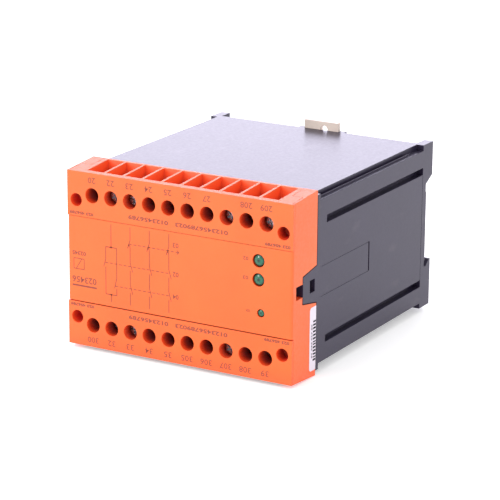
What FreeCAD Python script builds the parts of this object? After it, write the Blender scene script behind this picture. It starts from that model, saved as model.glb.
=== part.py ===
import FreeCAD, Part
import os
from types import SimpleNamespace

import Sketcher

# Safety relay module for a 35 mm mounting rail, in millimetres.
# +Z is up, +X is to the right as seen from the front, and the front faces -Y.
# The module stands on its terminal side with the rail foot down and the rail latch up.
# The origin is the centre of the bounding box, on the surface it stands on.
#
# "depth" distances run back from the front face, and "rise" distances run outward from
# the middle plane, or from the parting line on the pieces of a terminal strip.

SIZES = {
    # overall
    "height": 73.0,
    "depth": 118.0,
    "slip": 0.1,                # clearance between pieces that slide or slot together
    # terminal row
    "terminal_count": 10,
    "pitch": 8.58,
    "end_block": 7.1,
    "strip_height": 19.4,
    "strip_depth": 18.75,
    "draft": 1.3,
    "upper_seam": 0.15,
    "lower_seam": 0.4,
    "strip_face": 1.0,          # full-width front of a strip, over the panel's side walls
    "strip_slip": 0.15,
    "edge_wall": 0.9,           # side walls of the front panel beside the strips
    "post_width": 5.5,
    "post_start": 9.0,
    "driver_hole": 6.0,
    "driver_rise": 9.15,
    "rib": 0.88,
    "funnel_wall": 1.0,
    "funnel_length": 16.5,
    "pry_hole": 5.2,
    "pry_inset": 4.1,
    "pry_rise": 6.6,
    "pry_depth": 6.0,
    # clamp under each terminal
    "clamp_width": 6.6,
    "clamp_depth": 8.5,
    "clamp_height": 8.25,
    "clamp_front": 2.0,
    "clamp_sheet": 1.1,
    "clamp_start": 8.7,
    "clamp_rise": 4.05,
    "guard_width": 5.8,
    "guard_height": 6.0,
    "guard_sheet": 0.8,
    # terminal screw
    "head_diameter": 5.4,
    "head_height": 1.9,
    "thread_diameter": 3.5,
    "slot_in_head": 0.8,
    "slot_in_head_depth": 0.9,
    "screw_travel": 3.0,
    "screw_start": 3.6,         # head face behind the front face, fully open
    "thread_slip": 0.05,
    # contact blades
    "blade_width": 0.8,
    "blade_height": 1.5,
    "blade_reach": 3.15,
    "blade_slip": 0.05,
    "blade_foot": 2.0,
    "blade_tail": 3.2,
    # front panel
    "corner_round": 1.0,
    "panel_wall": 1.8,
    "panel_face": 2.0,
    "flange": 2.0,
    # status lights
    "light_diameter": 5.0,
    "light_length": 7.6,
    "small_light_diameter": 3.0,
    "small_light_length": 4.6,
    "light_bulge": 0.4,         # height of the dome as a share of its radius
    "light_collar": 0.4,
    "light_base": 1.0,
    "light_sleeve": 0.9,
    "light_across": 35.35,
    "small_light_across": 36.5,
    "upper_light_rise": 11.55,
    "middle_light_rise": 4.1,
    "lower_light_rise": -8.8,
    # case
    "case_step": 1.85,
    "side_wall": 2.2,
    "top_wall": 2.0,
    "rear_wall": 2.2,
    "lip": 2.2,
    "rebate_width": 3.1,
    "rebate_height": 2.3,
    "edge_rib": 0.7,
    "edge_rib_stop": 10.8,
    "slot_height": 3.0,
    "slot_depth": 3.0,
    "slot_inset": 5.5,
    "guide_height": 5.0,
    "guide_width": 3.6,
    # snap tab on each side
    "tab_width": 14.3,
    "tab_tip_width": 10.4,
    "tab_length": 10.65,
    "tab_sheet": 1.1,
    "tab_window_length": 3.9,
    "tab_window_width": 5.0,
    "tab_window_inset": 5.3,
    "barb_length": 2.2,
    "barb_reach": 2.5,
    "pocket_length": 5.3,
    "tongue_length": 39.0,
    "tongue_width": 11.9,
    "tongue_slit": 0.9,
    "score": 0.3,
    "score_depth": 0.1,
    # rail side
    "rail_width": 35.0,
    "rail_sheet": 1.0,
    "hook_reach": 5.2,
    "pad_thickness": 1.5,
    "relief_depth": 0.5,
    "relief_height": 2.7,
    "cheek": 4.1,
    "foot_slope": 3.0,
    "foot_lip": 2.5,
    "latch_width": 15.7,
    "latch_sheet": 2.1,
    "latch_offset": 1.8,
    "latch_reach": 3.5,
    "latch_travel": 3.5,
    "latch_hook": 2.3,
    "latch_block": 4.4,
    "latch_hole": 3.3,
    "latch_hole_offset": 1.2,
    "latch_hole_drop": 3.3,
    "guide_rail": 2.8,
    "strap_inset": 2.65,
    "strap_sheet": 1.8,
    # circuit boards and what they carry
    "board_sheet": 1.6,
    "board_rise": 6.7,
    "relay_length": 55.0,
    "relay_width": 13.0,
    "relay_height": 16.5,
    "relay_gap": 8.0,
    "relay_back": 18.0,
    "coil_length": 36.0,
    "coil_width": 32.0,
    "coil_height": 24.0,
    "core_sheet": 12.0,
    "core_reach": 3.0,
    "coil_across": 22.0,
    "coil_back": 12.0,
    "can_diameter": 16.0,
    "can_height": 25.0,
    "can_across": -26.0,
    "can_back": 22.0,
}

# How far each terminal screw has been driven in from fully open, from left to right.
UPPER_DRIVEN = (3.0, 0.0, 0.0, 3.0, 3.0, 3.0, 3.0, 0.0, 3.0, 0.0)
LOWER_DRIVEN = (3.0, 1.8, 0.0, 3.0, 3.0, 3.0, 3.0, 0.0, 3.0, 3.0)

STRIPS = (
    # name, +1 above or -1 below, driven depths
    ("upper", 1, UPPER_DRIVEN),
    ("lower", -1, LOWER_DRIVEN),
)

TURN_OVER = FreeCAD.Rotation(FreeCAD.Vector(0, 1, 0), 180)
UPRIGHT = FreeCAD.Rotation()
AXIS_TO_BACK = FreeCAD.Rotation(FreeCAD.Vector(1, 0, 0), -90)


class Size:
    """A number together with the sheet expression that it comes from."""

    def __init__(self, value, text):
        self.value = float(value)
        self.text = text

    @staticmethod
    def of(number):
        """A size as it is, or a plain number as a size."""
        return number if isinstance(number, Size) else Size(number, repr(float(number)))

    def __add__(self, other):
        other = Size.of(other)
        return Size(self.value + other.value, f"({self.text} + {other.text})")

    def __sub__(self, other):
        other = Size.of(other)
        return Size(self.value - other.value, f"({self.text} - {other.text})")

    def __mul__(self, other):
        other = Size.of(other)
        return Size(self.value * other.value, f"({self.text} * {other.text})")

    def __truediv__(self, other):
        other = Size.of(other)
        return Size(self.value / other.value, f"({self.text} / {other.text})")

    def __neg__(self):
        return Size(-self.value, f"(-{self.text})")

    def __radd__(self, other):
        return Size.of(other) + self

    def __rsub__(self, other):
        return Size.of(other) - self

    __rmul__ = __mul__


document = FreeCAD.newDocument("safety_relay")
sheet = document.addObject("Spreadsheet::Sheet", "sizes")
for row, (alias, number) in enumerate(SIZES.items(), start=1):
    sheet.set(f"A{row}", alias)
    sheet.set(f"B{row}", str(number))
    sheet.setAlias(f"B{row}", alias)
document.recompute()

size = SimpleNamespace(**{name: Size(number, f"sizes.{name}") for name, number in SIZES.items()})
parts = []

# Places that several pieces share.
row_half = size.pitch * size.terminal_count / 2
half_width = row_half + size.end_block
parting = size.height / 2 - size.strip_height
case_half = size.height / 2 - size.case_step
side_half = case_half - size.rebate_height
flange_back = size.strip_depth + size.flange
shoulder = flange_back + size.slip / 2
rail_face = size.depth - size.hook_reach
rear_face = rail_face - size.pad_thickness
rear_inside = rear_face - size.rear_wall
board_middle = parting + size.board_rise
board_inside = board_middle - size.board_sheet / 2
rail_top = size.rail_width / 2
latch_left = size.latch_offset - size.latch_width / 2
blade_top = size.clamp_rise - size.blade_slip
blade_bottom = blade_top - size.blade_height
screw_length = size.clamp_start + size.clamp_front + size.slip * 3 - size.screw_start


def back(distance):
    """The Y of a point at a distance behind the front face."""
    return distance - size.depth / 2


def up(rise):
    """The Z of a point at a rise above the middle plane."""
    return rise + size.height / 2


def terminal_x(index):
    """The X of a terminal's axis, counted from the left."""
    return size.pitch * (index + 0.5) - row_half


# --- how the pieces are built -------------------------------------------------------------

PLANES = {
    # plane: (role, sign of the sketch normal along its axis)
    "front": ("XZ_Plane", -1),
    "side": ("YZ_Plane", 1),
    "top": ("XY_Plane", 1),
}


def new_body(label, x=0, y=0, z=0, rotation=UPRIGHT):
    """Start a PartDesign body with its own label and placement."""
    body = document.addObject("PartDesign::Body", label)
    place(body, label, x, y, z, rotation)
    return body


def place(piece, label, x=0, y=0, z=0, rotation=UPRIGHT):
    """Label a finished piece, place it by expressions and list it for export."""
    piece.Label = label
    move(piece, x, y, z, rotation)
    parts.append(piece)
    return piece


def move(piece, x, y, z, rotation=UPRIGHT):
    """Place an object, with each coordinate bound to the sheet."""
    spot = [Size.of(value) for value in (x, y, z)]
    piece.Placement = FreeCAD.Placement(FreeCAD.Vector(*[value.value for value in spot]), rotation)
    for axis, value in zip("xyz", spot):
        piece.setExpression(f"Placement.Base.{axis}", value.text)


def new_sketch(body, name, plane, offset=0):
    """Attach a sketch to one of the body's own origin planes, offset along that axis."""
    role, sign = PLANES[plane]
    sketch = body.newObject("Sketcher::SketchObject", name)
    origin_plane = next(item for item in body.Origin.OriginFeatures if item.Role == role)
    sketch.AttachmentSupport = (origin_plane, [""])
    sketch.MapMode = "FlatFace"
    shift = Size.of(offset) * sign
    sketch.AttachmentOffset = FreeCAD.Placement(FreeCAD.Vector(0, 0, shift.value), UPRIGHT)
    sketch.setExpression("AttachmentOffset.Base.z", shift.text)
    return sketch


def pin_point(sketch, geometry, vertex, x, y):
    """Fix a point of a sketch at coordinates bound to the sheet."""
    for kind, value in (("DistanceX", Size.of(x)), ("DistanceY", Size.of(y))):
        index = sketch.addConstraint(Sketcher.Constraint(kind, -1, 1, geometry, vertex, value.value))
        sketch.setExpression(f"Constraints[{index}]", value.text)


def draw_polygon(sketch, points):
    """Draw a closed outline whose corners are bound to the sheet."""
    corners = [(Size.of(x), Size.of(y)) for x, y in points]
    first = sketch.GeometryCount
    vectors = [FreeCAD.Vector(x.value, y.value, 0) for x, y in corners]
    for start, end in zip(vectors, vectors[1:] + vectors[:1]):
        sketch.addGeometry(Part.LineSegment(start, end), False)
    for step, (x, y) in enumerate(corners):
        following = first + (step + 1) % len(corners)
        sketch.addConstraint(Sketcher.Constraint("Coincident", first + step, 2, following, 1))
        pin_point(sketch, first + step, 1, x, y)


def draw_circle(sketch, x, y, diameter):
    """Draw a circle whose centre and diameter are bound to the sheet."""
    x, y, diameter = Size.of(x), Size.of(y), Size.of(diameter)
    centre = FreeCAD.Vector(x.value, y.value, 0)
    circle = Part.Circle(centre, FreeCAD.Vector(0, 0, 1), diameter.value / 2)
    geometry = sketch.addGeometry(circle, False)
    pin_point(sketch, geometry, 3, x, y)
    index = sketch.addConstraint(Sketcher.Constraint("Diameter", geometry, diameter.value))
    sketch.setExpression(f"Constraints[{index}]", diameter.text)


def rectangle(left, right, bottom, top):
    """The corners of a rectangle."""
    return [(left, bottom), (right, bottom), (right, top), (left, top)]


def extrude(body, name, plane, start, end, outlines=(), circles=(), cut=False):
    """Pad or pocket outlines and circles between two places along the plane's axis."""
    sketch = new_sketch(body, f"{name}_sketch", plane, start)
    for outline in outlines:
        draw_polygon(sketch, outline)
    for x, y, diameter in circles:
        draw_circle(sketch, x, y, diameter)
    feature = body.newObject("PartDesign::Pocket" if cut else "PartDesign::Pad", name)
    feature.Profile = sketch
    length = Size.of(end) - start
    feature.Length = length.value
    feature.setExpression("Length", length.text)
    towards_normal = PLANES[plane][1] == 1
    feature.Reversed = towards_normal == cut
    sketch.Visibility = False
    return feature


def revolve(body, name, outline):
    """Turn an outline of (radius, distance back) points about the body's Y axis."""
    sketch = new_sketch(body, f"{name}_sketch", "top")
    draw_polygon(sketch, outline)
    feature = body.newObject("PartDesign::Revolution", name)
    feature.Profile = sketch
    feature.ReferenceAxis = (sketch, ["V_Axis"])
    feature.Angle = 360
    return feature


def box(name, left, right, front, rear, bottom, top):
    """A Part box between two corners, with every side bound to the sheet."""
    solid = document.addObject("Part::Box", name)
    spans = (("Length", left, right), ("Width", front, rear), ("Height", bottom, top))
    for side, low, high in spans:
        span = Size.of(high) - low
        setattr(solid, side, span.value)
        solid.setExpression(side, span.text)
    move(solid, left, front, bottom)
    return solid


def cylinder(name, diameter, length, x, y, z, rotation):
    """A Part cylinder that starts at a point and runs along its turned axis."""
    solid = document.addObject("Part::Cylinder", name)
    solid.setExpression("Radius", (Size.of(diameter) / 2).text)
    solid.setExpression("Height", Size.of(length).text)
    move(solid, x, y, z, rotation)
    return solid


def fuse(name, solids):
    """Join Part solids into one."""
    joined = document.addObject("Part::MultiFuse", name)
    joined.Shapes = solids
    return joined


# --- case -----------------------------------------------------------------------------------

def rail_hook_outline():
    """Side profile of a block above the rail and of the rail face, as (Y, Z) points."""
    root = rear_inside
    relief_face = rail_face - size.relief_depth
    face_top = rail_top - size.relief_height - size.relief_depth
    face_bottom = -rail_top + size.foot_lip + size.relief_depth
    corners = [
        (root, case_half), (size.depth, case_half),
        (size.depth, rail_top + size.latch_hook + size.slip * 10),
        (relief_face, rail_top + size.slip * 3), (relief_face, face_top + size.relief_depth),
        (rail_face, face_top), (rail_face, face_bottom),
        (relief_face, face_bottom - size.relief_depth), (relief_face, -rail_top),
        (root, -rail_top),
    ]
    return [(back(distance), up(rise)) for distance, rise in corners]


def rail_foot_outline():
    """Side profile of the foot, with the notch that takes the rail's lower edge."""
    root = rear_inside
    notch_back = rail_face + size.rail_sheet + size.slip * 2
    lip_top = -rail_top + size.foot_lip
    corners = [
        (root, -rail_top), (notch_back, -rail_top), (notch_back + size.foot_slope, lip_top),
        (size.depth, lip_top), (size.depth, -case_half), (root, -case_half),
    ]
    return [(back(distance), up(rise)) for distance, rise in corners]


def make_case():
    """Moulded case: open in front, rail hooks behind, guides for two boards inside."""
    body = new_body("case")
    inner_x = half_width - size.side_wall
    inner_z = case_half - size.top_wall
    post_x = half_width - size.rebate_width - size.top_wall
    post_z = side_half - size.side_wall
    extrude(body, "case_block", "front", back(size.strip_depth), back(rear_face),
            [rectangle(-half_width, half_width, up(-case_half), up(case_half))])
    extrude(body, "rail_foot", "side", -half_width, half_width, [rail_foot_outline()])
    for place_name, left, right in rail_block_spans():
        extrude(body, f"rail_block_{place_name}", "side", left, right, [rail_hook_outline()])
    trim_centre_block(body)
    extrude(body, "flange_recess", "front", back(size.strip_depth), back(shoulder),
            [rectangle(-inner_x, inner_x, up(-inner_z), up(inner_z))], cut=True)
    hollow = [
        (-inner_x, up(-post_z)), (-post_x, up(-post_z)), (-post_x, up(-inner_z)),
        (post_x, up(-inner_z)), (post_x, up(-post_z)), (inner_x, up(-post_z)),
        (inner_x, up(post_z)), (post_x, up(post_z)), (post_x, up(inner_z)),
        (-post_x, up(inner_z)), (-post_x, up(post_z)), (-inner_x, up(post_z)),
    ]
    extrude(body, "hollow", "front", back(shoulder), back(rear_inside), [hollow], cut=True)
    cut_rebates(body)
    add_board_guides(body, inner_x)
    add_snap_tabs(body)
    score_sides(body)
    return body


def rail_block_spans():
    """Name and X span of each block that grips the rail."""
    guide_left = latch_left - size.slip - size.guide_rail
    guide_right = latch_left + size.latch_width + size.slip + size.guide_rail
    return (
        ("left", -half_width, -half_width + size.cheek),
        ("right", half_width - size.cheek, half_width),
        ("centre", guide_left, guide_right),
    )


def trim_centre_block(body):
    """Cut the latch's channel into the centre block and leave a strap behind it."""
    _, guide_left, guide_right = rail_block_spans()[2]
    channel_left = latch_left - size.slip
    channel_right = latch_left + size.latch_width + size.slip
    channel_back = rear_face + size.latch_sheet + size.slip * 2
    pad_top = rail_top + size.slip * 6
    strap_bottom = rail_top + size.latch_block + size.slip * 8 + size.latch_travel + size.slip * 2
    strap_top = case_half - size.strap_inset
    past_rear = size.depth + size.slip
    past_top = case_half + size.slip
    extrude(body, "latch_channel", "front", back(rear_face), back(past_rear),
            [rectangle(channel_left, channel_right, up(pad_top), up(strap_bottom))], cut=True)
    extrude(body, "latch_mouth", "front", back(rear_face), back(channel_back),
            [rectangle(channel_left, channel_right, up(strap_bottom), up(past_top))], cut=True)
    extrude(body, "strap_top", "front", back(channel_back), back(past_rear),
            [rectangle(guide_left - size.slip, guide_right + size.slip, up(strap_top), up(past_top))],
            cut=True)
    extrude(body, "strap_back", "front", back(channel_back + size.strap_sheet), back(past_rear),
            [rectangle(guide_left - size.slip, guide_right + size.slip, up(pad_top), up(strap_top))],
            cut=True)


def spread(first, second, sign):
    """Two places mirrored by a sign and put in rising order."""
    return sorted((first * sign, second * sign), key=lambda place_value: place_value.value)


def cut_rebates(body):
    """Cut the stepped long edges, each with a thin rib, between the lip and the rear block."""
    start = size.strip_depth + size.lip
    rib_end = rear_inside - size.edge_rib_stop
    rib = half_width - size.side_wall
    for side_name, sign in (("left", -1), ("right", 1)):
        steps, ribs = [], []
        for half in (-1, 1):
            floor, past = up(side_half * half), up((case_half + size.slip) * half)
            steps.append(rectangle(back(start), back(rear_inside), floor, past))
            ribs.append(rectangle(back(start), back(rib_end), floor,
                                  up((side_half + size.edge_rib) * half)))
        edges = spread(half_width - size.rebate_width, half_width, sign)
        extrude(body, f"rebates_{side_name}", "side", *edges, steps, cut=True)
        extrude(body, f"edge_ribs_{side_name}", "side", *spread(rib, rib + size.edge_rib, sign), ribs)


def add_board_guides(body, inner_x):
    """Grooved guides for the boards inside, and the long slots outside them."""
    guide_x = half_width - size.side_wall - size.guide_width
    groove_x = guide_x + size.guide_width / 2
    guides, grooves = [], []
    for sign in (-1, 1):
        for half in (-1, 1):
            edges = spread(guide_x, inner_x, sign)
            middle = board_middle * half
            guides.append(rectangle(*edges, up(middle - size.guide_height / 2),
                                    up(middle + size.guide_height / 2)))
            mouth = spread(guide_x - size.slip, groove_x, sign)
            gap = size.board_sheet / 2 + size.slip
            grooves.append(rectangle(*mouth, up(middle - gap), up(middle + gap)))
    extrude(body, "guides", "front", back(shoulder), back(rear_inside), guides)
    extrude(body, "guide_grooves", "front", back(shoulder - size.slip), back(rear_inside), grooves,
            cut=True)
    slots = []
    for half in (-1, 1):
        middle = board_middle * half
        slots.append(rectangle(back(shoulder + size.slot_inset), back(rear_inside),
                               up(middle - size.slot_height / 2), up(middle + size.slot_height / 2)))
    outer = half_width + size.slip
    extrude(body, "slots_left", "side", -outer, size.slot_depth - half_width, slots, cut=True)
    extrude(body, "slots_right", "side", half_width - size.slot_depth, outer, slots, cut=True)


def tab_outline(margin=0):
    """Side outline of a snap tab as (Y, Z) points, grown by a margin."""
    tip = size.strip_depth - size.tab_length - margin
    root = size.strip_depth + size.lip
    base_half = size.tab_width / 2 + margin
    tip_half = size.tab_tip_width / 2 + margin
    corners = [(root, -base_half), (size.strip_depth, -base_half), (tip, -tip_half),
               (tip, tip_half), (size.strip_depth, base_half), (root, base_half)]
    return [(back(distance), up(rise)) for distance, rise in corners]


def add_snap_tabs(body):
    """A tab with a window and a barb on each side, which reaches over the front panel."""
    tab_tip = size.strip_depth - size.tab_length
    window_front = size.strip_depth - size.tab_window_inset
    window = rectangle(back(window_front), back(window_front + size.tab_window_length),
                       up(-size.tab_window_width / 2), up(size.tab_window_width / 2))
    barb = rectangle(back(tab_tip), back(tab_tip + size.barb_length),
                     up(-size.tab_window_width / 2), up(size.tab_window_width / 2))
    for side_name, sign in (("left", -1), ("right", 1)):
        under = half_width - size.tab_sheet
        edges = spread(under, half_width, sign)
        extrude(body, f"tab_{side_name}", "side", *edges, [tab_outline()])
        extrude(body, f"barb_{side_name}", "side", *spread(under - size.barb_reach, under, sign),
                [barb])
        extrude(body, f"tab_window_{side_name}", "side", *edges, [window], cut=True)


def score_sides(body):
    """Shallow scored lines round each latch tongue and along the rear frame, and the slit."""
    tongue_front = size.strip_depth + size.lip + size.score * 5
    tongue_back = tongue_front + size.tongue_length
    half = size.tongue_width / 2
    lines = [
        rectangle(back(tongue_front), back(tongue_back), up(sign * half - size.score / 2),
                  up(sign * half + size.score / 2))
        for sign in (-1, 1)
    ]
    slot_edge = board_middle - size.slot_height / 2
    lines.append(rectangle(back(rear_inside - size.score), back(rear_inside),
                           up(-slot_edge), up(slot_edge)))
    slit = rectangle(back(tongue_back), back(tongue_back + size.tongue_slit),
                     up(-half), up(half))
    for side_name, sign in (("left", -1), ("right", 1)):
        shallow = spread(half_width - size.score_depth, half_width, sign)
        through = spread(half_width - size.side_wall, half_width, sign)
        extrude(body, f"score_{side_name}", "side", *shallow, lines, cut=True)
        extrude(body, f"slit_{side_name}", "side", *through, [slit], cut=True)


# --- front panel ------------------------------------------------------------------------------

LIGHTS = (
    # name, diameter, length, place across, rise above the middle plane
    ("status_light_1", size.light_diameter, size.light_length, size.light_across,
     size.upper_light_rise),
    ("status_light_2", size.light_diameter, size.light_length, size.light_across,
     size.middle_light_rise),
    ("status_light_3", size.small_light_diameter, size.small_light_length,
     size.small_light_across, size.lower_light_rise),
)


def make_front_panel():
    """Front panel: a hollow tower between the strips and a flange that closes the case."""
    body = new_body("front_panel")
    tower = extrude(body, "tower", "front", back(0), back(size.strip_depth),
                    [rectangle(-half_width, half_width, up(-parting), up(parting))])
    round_front_corners(body, tower)
    for side_name, sign in (("left", -1), ("right", 1)):
        wall = spread(half_width - size.edge_wall, half_width, sign)
        extrude(body, f"side_wall_{side_name}", "side", *wall,
                [draft_outline(size.strip_face + size.strip_slip)])
        post = spread(half_width - size.post_width, half_width, sign)
        extrude(body, f"post_{side_name}", "side", *post, [draft_outline(size.post_start)])
    flange_x = half_width - size.side_wall - size.slip
    flange_z = case_half - size.top_wall - size.slip
    extrude(body, "flange", "front", back(size.strip_depth), back(flange_back),
            [rectangle(-flange_x, flange_x, up(-flange_z), up(flange_z))])
    hollow_x = flange_x - size.panel_wall
    hollow_z = parting - size.panel_wall
    extrude(body, "hollow", "front", back(size.panel_face), back(flange_back),
            [rectangle(-hollow_x, hollow_x, up(-hollow_z), up(hollow_z))], cut=True)
    for name, diameter, length, across, rise in LIGHTS:
        sleeve = diameter + size.slip * 2 + size.light_sleeve * 2
        extrude(body, f"{name}_sleeve", "front", back(size.panel_face), back(length),
                circles=[(across, up(rise), sleeve)])
        extrude(body, f"{name}_hole", "front", back(0), back(length),
                circles=[(across, up(rise), diameter + size.slip * 2)], cut=True)
    cut_tab_notches(body)
    cut_blade_windows(body)
    return body


def draft_outline(start):
    """Side outline of the full height of the front from a depth back to the case."""
    top = size.height / 2
    start_top = top - size.draft + size.draft * start / size.strip_depth
    corners = [(start, -start_top), (size.strip_depth, -top), (size.strip_depth, top),
               (start, start_top)]
    return [(back(distance), up(rise)) for distance, rise in corners]


def round_front_corners(body, tower):
    """Round the upright front corners of the tower."""
    document.recompute()
    front, side = back(0).value, half_width.value
    names = []
    for number, edge in enumerate(tower.Shape.Edges, start=1):
        middle = edge.CenterOfMass
        if abs(middle.y - front) < 0.01 and abs(abs(middle.x) - side) < 0.01:
            names.append(f"Edge{number}")
    rounding = body.newObject("PartDesign::Fillet", "corner_rounding")
    rounding.Base = (tower, names)
    rounding.Radius = size.corner_round.value
    rounding.setExpression("Radius", size.corner_round.text)


def cut_tab_notches(body):
    """Notches for the snap tabs, and an opening for each barb, its window and a release tool."""
    floor = half_width - size.tab_sheet - size.slip
    hollow_side = half_width - size.side_wall - size.panel_wall - size.slip * 2
    pocket_front = size.strip_depth - size.tab_length - size.pocket_length
    pocket_back = size.strip_depth - size.tab_window_inset + size.tab_window_length + size.slip
    pocket_half = size.tab_window_width / 2 + size.slip
    pocket = rectangle(back(pocket_front), back(pocket_back), up(-pocket_half), up(pocket_half))
    for side_name, sign in (("left", -1), ("right", 1)):
        extrude(body, f"tab_notch_{side_name}", "side", *spread(floor, half_width, sign),
                [tab_outline(size.slip)], cut=True)
        extrude(body, f"barb_pocket_{side_name}", "side", *spread(hollow_side, half_width, sign),
                [pocket], cut=True)


def cut_blade_windows(body):
    """One narrow window through the flange for each contact blade."""
    reach_x = size.blade_width / 2 + size.blade_slip
    reach_z = size.blade_height / 2 + size.blade_slip
    for name, half, _ in STRIPS:
        middle = (parting + blade_bottom + size.blade_height / 2) * half
        windows = []
        for index in range(SIZES["terminal_count"]):
            x = terminal_x(index)
            windows.append(rectangle(x - reach_x, x + reach_x, up(middle - reach_z),
                                     up(middle + reach_z)))
        extrude(body, f"blade_windows_{name}", "front", back(size.strip_depth), back(flange_back),
                windows, cut=True)


def make_status_lights():
    """Domed lights, each seated by its collar on the rear of its sleeve."""
    for name, diameter, length, across, rise in LIGHTS:
        radius = diameter / 2
        collar = radius + size.slip + size.light_collar
        shoulder_depth = length - size.slip
        bulge = radius * size.light_bulge
        base = shoulder_depth + size.light_base
        light = new_body(name, across, back(size.slip), up(rise))
        revolve(light, f"{name}_turned", [
            (0, 0), (radius * 0.5, bulge * 0.134), (radius * 0.866, bulge * 0.5),
            (radius, bulge), (radius, shoulder_depth), (collar, shoulder_depth),
            (collar, base), (0, base),
        ])


# --- terminal strips --------------------------------------------------------------------------

def strip_place(sign):
    """Placement of a strip: its parting line at the front, turned over when it is below."""
    return {"x": 0, "y": back(0), "z": up(parting * sign),
            "rotation": UPRIGHT if sign == 1 else TURN_OVER}


def make_terminal_strip(name, sign):
    """Terminal strip: driver holes, funnels and clamp chambers between solid ends."""
    body = new_body(f"terminal_strip_{name}", **strip_place(sign))
    base = getattr(size, f"{name}_seam")
    top = size.strip_height
    rear = size.strip_depth - size.slip
    rear_top = top - size.draft * size.slip / size.strip_depth
    profile = [(0, base), (rear, base), (rear, rear_top), (0, top - size.draft)]
    extrude(body, "strip_block", "side", -half_width, half_width, [profile])
    trim_strip_ends(body, rear)
    chamber_front = size.clamp_start - size.slip
    axes = [terminal_x(index) for index in range(SIZES["terminal_count"])]
    extrude(body, "driver_holes", "front", 0, chamber_front,
            circles=[(x, size.driver_rise, size.driver_hole) for x in axes], cut=True)
    chamber_half = size.clamp_width / 2 + size.slip
    chamber_top = size.clamp_rise + size.clamp_height + size.slip
    chambers = [rectangle(x - chamber_half, x + chamber_half, blade_bottom - size.slip,
                          chamber_top) for x in axes]
    extrude(body, "clamp_chambers", "front", chamber_front, rear, chambers, cut=True)
    cut_funnels(body, chamber_top)
    pry_x = half_width - size.pry_inset
    extrude(body, "pry_holes", "front", 0, size.pry_depth,
            circles=[(x, size.pry_rise, size.pry_hole) for x in (-pry_x, pry_x)], cut=True)
    return body


def trim_strip_ends(body, rear):
    """Narrow the strip behind its face so that it fits between the side walls and posts."""
    beside_wall = half_width - size.edge_wall - size.strip_slip
    beside_post = half_width - size.post_width - size.strip_slip
    post_face = size.post_start - size.strip_slip
    past = half_width + size.slip
    outlines = [
        [(x * sign, y) for x, y in (
            (past, size.strip_face), (past, rear + size.slip), (beside_post, rear + size.slip),
            (beside_post, post_face), (beside_wall, post_face), (beside_wall, size.strip_face),
        )]
        for sign in (-1, 1)
    ]
    extrude(body, "strip_ends", "top", 0, size.strip_height + size.slip, outlines, cut=True)


def cut_funnels(body, chamber_top):
    """Cut one wire funnel and repeat it along the row."""
    mouth_half = (size.pitch - size.rib) / 2
    mouth_back = size.funnel_wall + size.funnel_length
    wire_front = size.clamp_start + size.clamp_front + size.slip * 5
    wire_back = size.clamp_start + size.clamp_depth - size.clamp_sheet
    wire_half = size.clamp_width / 2 - size.slip * 6
    x = terminal_x(0)
    above = size.strip_height + size.slip
    below = chamber_top - size.slip * 4
    mouth = new_sketch(body, "funnel_mouth", "top", above)
    draw_polygon(mouth, rectangle(x - mouth_half, x + mouth_half, size.funnel_wall, mouth_back))
    throat = new_sketch(body, "funnel_throat", "top", below)
    draw_polygon(throat, rectangle(x - wire_half, x + wire_half, wire_front, wire_back))
    funnel = body.newObject("PartDesign::SubtractiveLoft", "funnel")
    funnel.Profile = mouth
    funnel.Sections = [throat]
    funnel.Ruled = True
    row = body.newObject("PartDesign::LinearPattern", "funnel_row")
    row.Originals = [funnel]
    row.Direction = (next(item for item in body.Origin.OriginFeatures if item.Role == "X_Axis"), [""])
    row.Mode = "Spacing"
    row.setExpression("Offset", size.pitch.text)
    row.setExpression("Occurrences", size.terminal_count.text)
    body.Tip = row


def make_clamp_row(name, sign):
    """One folded clamp for each terminal, with a threaded front and a contact wall behind."""
    clamps = []
    for index in range(SIZES["terminal_count"]):
        label = f"clamp_{name}_{index + 1}"
        body = document.addObject("PartDesign::Body", label)
        front = size.clamp_start
        rear = front + size.clamp_depth
        low, high = size.clamp_rise, size.clamp_rise + size.clamp_height
        floor = low + size.clamp_sheet
        half = size.clamp_width / 2
        profile = [(front, low), (rear, low), (rear, high), (rear - size.clamp_sheet, high),
                   (rear - size.clamp_sheet, floor), (front + size.clamp_front, floor),
                   (front + size.clamp_front, high), (front, high)]
        extrude(body, f"{label}_fold", "side", -half, half, [profile])
        extrude(body, f"{label}_thread", "front", front, front + size.clamp_front,
                circles=[(0, size.driver_rise, size.thread_diameter + size.thread_slip * 2)], cut=True)
        x = terminal_x(index) * sign
        move(body, x, 0, 0)
        clamps.append(body)
    row = document.addObject("Part::Compound", f"clamp_row_{name}")
    row.Links = clamps
    return place(row, f"clamp_row_{name}", **strip_place(sign))


def make_terminal(name, sign, index, driven):
    """One terminal screw and the wire guard that its tip pushes."""
    x = terminal_x(index)
    z = up((parting + size.driver_rise) * sign)
    rotation = UPRIGHT if sign == 1 else TURN_OVER
    head_face = size.screw_start + driven
    head, thread = size.head_diameter / 2, size.thread_diameter / 2
    screw = new_body(f"terminal_screw_{name}_{index + 1}", x, back(head_face), z, rotation)
    revolve(screw, "turned", [(0, 0), (head, 0), (head, size.head_height),
                              (thread, size.head_height), (thread, screw_length), (0, screw_length)])
    slot = size.slot_in_head / 2
    extrude(screw, "slot", "front", 0, size.slot_in_head_depth,
            [rectangle(-head - size.slip, head + size.slip, -slot, slot)], cut=True)
    guard_front = head_face + screw_length + size.slip / 2
    half, half_height = size.guard_width / 2, size.guard_height / 2
    guard = box(f"wire_guard_{name}_{index + 1}", x - half, x + half, back(guard_front),
                back(guard_front + size.guard_sheet), z - half_height, z + half_height)
    guard.Label = f"wire_guard_{name}_{index + 1}"
    parts.append(guard)


# --- boards and what they carry ---------------------------------------------------------------

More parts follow.
